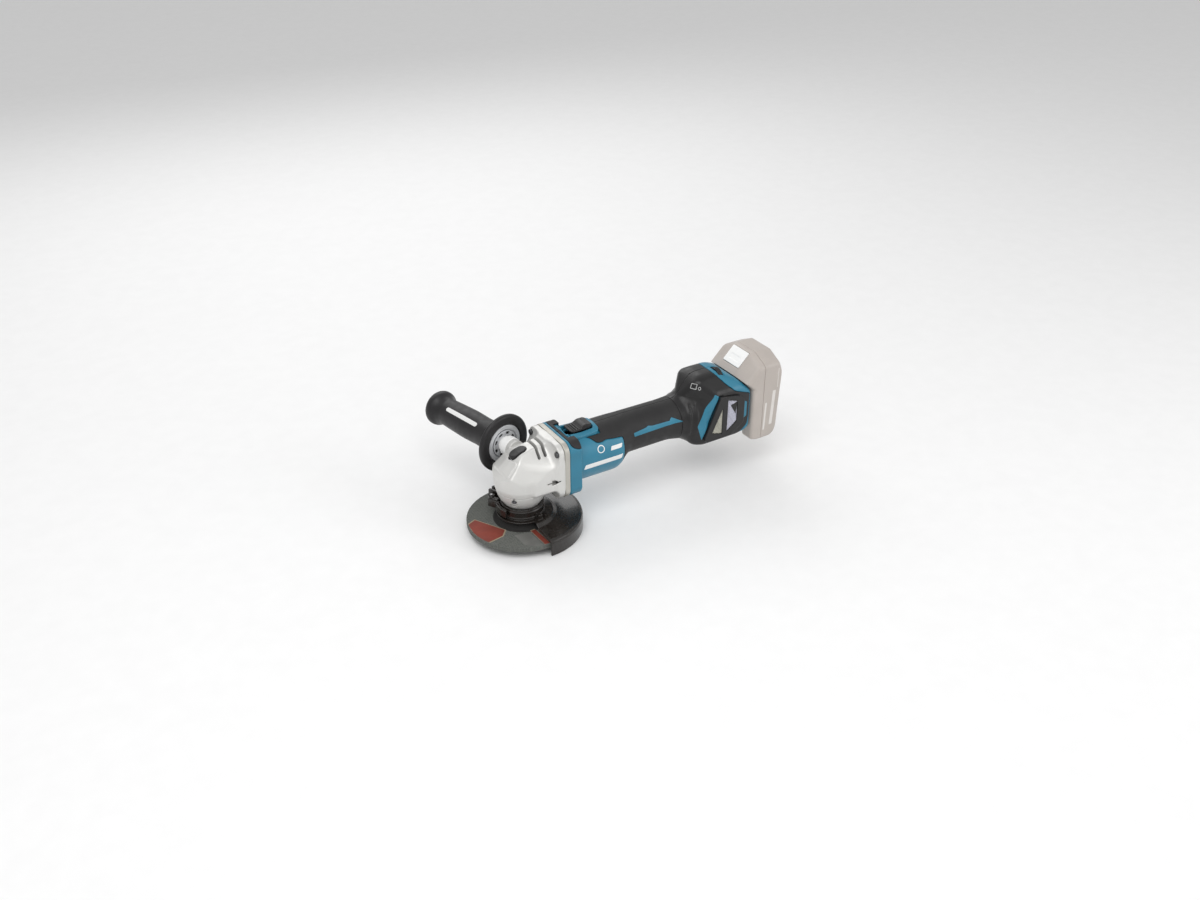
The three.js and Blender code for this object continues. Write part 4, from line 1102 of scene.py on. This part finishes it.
KEPT = {
    dark_steel: ["bearing_box_screw_1", "bearing_box_screw_2", "bearing_box_screw_3",
                 "bearing_box_screw_4", "housing_screw_1", "housing_screw_2", "housing_screw_3"],
    steel: ["needle_bearing", "spindle_bearing", "pinion_bearing", "rotor_bearing", "spindle",
            "bevel_gear", "pinion", "rotor_shaft", "lock_pin", "lock_spring", "clamp_screw",
            "lever_pin", "handle_bolt"],
    iron: ["rotor_core"],
    copper: ["stator", "terminal_plus", "terminal_minus"],
    black: ["fan", "slide_rod", "switch_unit", "controller", "terminal_block"],
    cell_wrap: ["cell_pack"],
}


def finish_kept_nodes():
    for finish, names in KEPT.items():
        for name in names:
            node = frame["nodes"][name]
            node.data.materials.clear()
            node.data.materials.append(finish)
            weld = node.modifiers.new("weld", "WELD")
            weld.merge_threshold = 0.00001
            bevel = node.modifiers.new("bevel", "BEVEL")
            bevel.width = 0.00015
            bevel.limit_method = "ANGLE"
            bevel.angle_limit = math.radians(35)


# ---- Build ----------------------------------------------------------------------------


def region(outline, low, high):
    """The corners of a box around an outline seen from above."""
    return ((min(p[0] for p in outline), min(p[1] for p in outline), low),
            (max(p[0] for p in outline), max(p[1] for p in outline), high))


def side_region(outline, side, near, far):
    """The corners of a box around an outline on one side."""
    reach = sorted((side * near, side * far))
    return ((min(p[0] for p in outline), reach[0], min(p[1] for p in outline)),
            (max(p[0] for p in outline), reach[1], max(p[1] for p in outline)))


def build_head():
    build("gear_housing_cast", gear_housing, ["gear_housing"], cast_silver, 0.5)
    build("gear_cover_plate", gear_cover, ["gear_housing_cover"], cover_silver, 0.5)
    build("bearing_box_cast", bearing_box, ["bearing_box"], cast_silver, 0.45)
    for k, (y, z) in enumerate(FLANGE_SCREWS, 1):
        build(f"flange_screw_{k}", flange_screw(y, z), [f"gear_housing_screw_{k}"], dark_steel,
              0.25)
    build("lock_button_oval", lock_button, ["lock_button"], black, 0.3)
    # Black plates in the exhaust slots: painted shade, not a real grille.
    extra("slot_shade", slot_shade, (11, -20, 77), (26, 20, 81), black, "black_plastic", step=0.5)


def build_wheel():
    build("wheel_disc", wheel, ["grinding_wheel"], abrasive, 0.6)
    build("inner_flange_ring", inner_flange, ["inner_flange"], steel, 0.4)
    build("lock_nut_ring", lock_nut, ["lock_nut"], dark_steel, 0.4)
    build("guard_dish", guard, ["guard"], guard_black, 0.5)
    for name, outline, high, finish in (
            ("wheel_label_edge", grown(WHEEL_LABEL, 1.6), 6.1, label_beige),
            ("wheel_label", WHEEL_LABEL, 6.16, label_red),
            ("wheel_stripe_edge", grown(WHEEL_STRIPE, 1.2), 6.1, label_beige),
            ("wheel_stripe", WHEEL_STRIPE, 6.16, label_red),
            ("wheel_pale", WHEEL_PALE, 6.07, label_pale)):
        extra(name, wheel_print(outline, PRINT_BOTTOM, high), *region(outline, PRINT_BOTTOM, high),
              finish, "abrasive", "spindle_set", 0.4)
    build("clamp_lever_arm", clamp_lever, ["clamp_lever"], guard_black, 0.35)


def build_handle():
    build("handle_grip_rubber", handle_grip, ["handle_grip"], handle_black, 0.7)
    build("handle_ring_plate", handle_ring, ["handle_ring"], plate_silver, 0.35)
    build("handle_spacer_sleeve", handle_spacer, ["handle_spacer"], white, 0.35)
    extra("ring_shade", ring_shade, (-18, 33, 62), (18, 46, 98), black, "black_plastic")
    extra("boss_collar", boss_collar, (-10, 19, 67), (18, 37, 93), white, "white_plastic")


def build_housing():
    for word, side in (("left", -1), ("right", 1)):
        build(f"housing_{word}_shell", housing(side), [f"housing_{word}"], teal,
              0.9)
        build(f"grip_{word}_skin", skin_piece(side, 40, SHROUD_X - GAP, 0.7), [f"grip_{word}"],
              rubber, 0.7)
        build(f"shroud_{word}_skin", skin_piece(side, SHROUD_X, 292, 0.7), [f"shroud_{word}"],
              black, 0.7)
        build(f"dust_cover_{word}_frame", dust_cover(side), [f"dust_cover_{word}"], black,
              0.35)
        for shape, window, finish in (("triangle", DUST_TRIANGLE, dust_pale),
                                      ("pentagon", DUST_PENTAGON, dust_white)):
            extra(f"dust_{shape}_{word}", dust_screen(side, window),
                  *side_region(window, side, 36.9, 37.7), finish, "black_plastic", step=0.2)
        for shape, outline, near, far in (("arrow", GRIP_ARROW, 17, 27),
                                          ("stripe", SIDE_STRIPE, 30, 38)):
            extra(f"teal_{shape}_{word}", one_side(inlay(tool_body, outline, 0.25, 1.0), side),
                  *side_region(outline, side, near, far), teal, "teal_plastic")
        add_dust_details(word, side)


def dust_shade(side):
    """A dark triangle in front of the larger screen."""
    soft = eased(DUST_SHADE, 0.6, 2)
    return lambda x, y, z: meet(polygon(x, z, soft), between(side * y, 37.5, 37.95), 0.1)


def add_dust_details(word, side):
    extra(f"dust_shade_{word}", dust_shade(side), *side_region(DUST_SHADE, side, 37.2, 38), black,
          "black_plastic", step=0.25)
    extra(f"dust_slot_{word}", one_side(inlay(tool_body, DUST_SLOT, 0.4, 1.0), side),
          *side_region(DUST_SLOT, side, 34, 38), teal, "teal_plastic")


def add_marks():
    """Plain shapes where the tool carries its printed marks."""
    marks = (
        ("ring_badge", tool_body, ring_badge, (80, -31.3, 74), (91, -24, 85), print_white, "tool"),
        ("short_bar", tool_body, slanted_bar(97, 113, 75, 79.5), (96, -32, 73), (114, -26, 81),
         print_white, "tool"),
        ("long_bar", tool_body, slanted_bar(62, 113, 61.5, 67), (61, -32, 60), (114, -29, 68),
         print_white, "tool"),
        ("charge_icon", tool_body, charge_icon, (209, -25, 108), (222, -9, 124), print_grey,
         "tool"),
        ("handle_bar", handle_grip, handle_bar, (-31, 68, 80), (2, 134, 99), print_white, "tool"),
        ("battery_bar_1", battery_shape, slanted_bar(305, 309, 42, 78), (304, -37.6, 40),
         (310, -36, 80), battery_print, "battery"),
        ("battery_bar_2", battery_shape, slanted_bar(314, 321, 47, 92), (313, -37.6, 45),
         (322, -36, 94), battery_print, "battery"),
        ("battery_line", battery_shape, slanted_bar(322.4, 323.6, 95, 120), (322, -37.6, 94),
         (324, -36, 121), battery_print, "battery"),
    )
    for name, shape, mark, low, high, finish, body in marks:
        slot = "battery_plastic" if body == "battery" else "white_plastic"
        extra(name, on_surface(shape, mark, 0.14, 0.3), low, high, finish, slot, body, 0.25)


def build_controls():
    build("switch_bezel_frame", switch_bezel, ["switch_bezel"], teal, 0.4)
    build("slide_button_cap", slide_button, ["slide_button"], black, 0.35)
    build("speed_dial_wheel", speed_dial, ["speed_dial"], black, 0.3)


def build_battery():
    build("battery_case_shell", battery_case, ["battery_case"], battery_plastic,
          0.8)
    build("battery_cover_shell", battery_cover, ["battery_cover"], battery_plastic,
          0.8)
    build("battery_button_plate", battery_button, ["battery_button"], white, 0.4)


make_camera()
make_studio()
finish_kept_nodes()
build_head()
build_wheel()
build_handle()
build_housing()
build_controls()
build_battery()
add_marks()
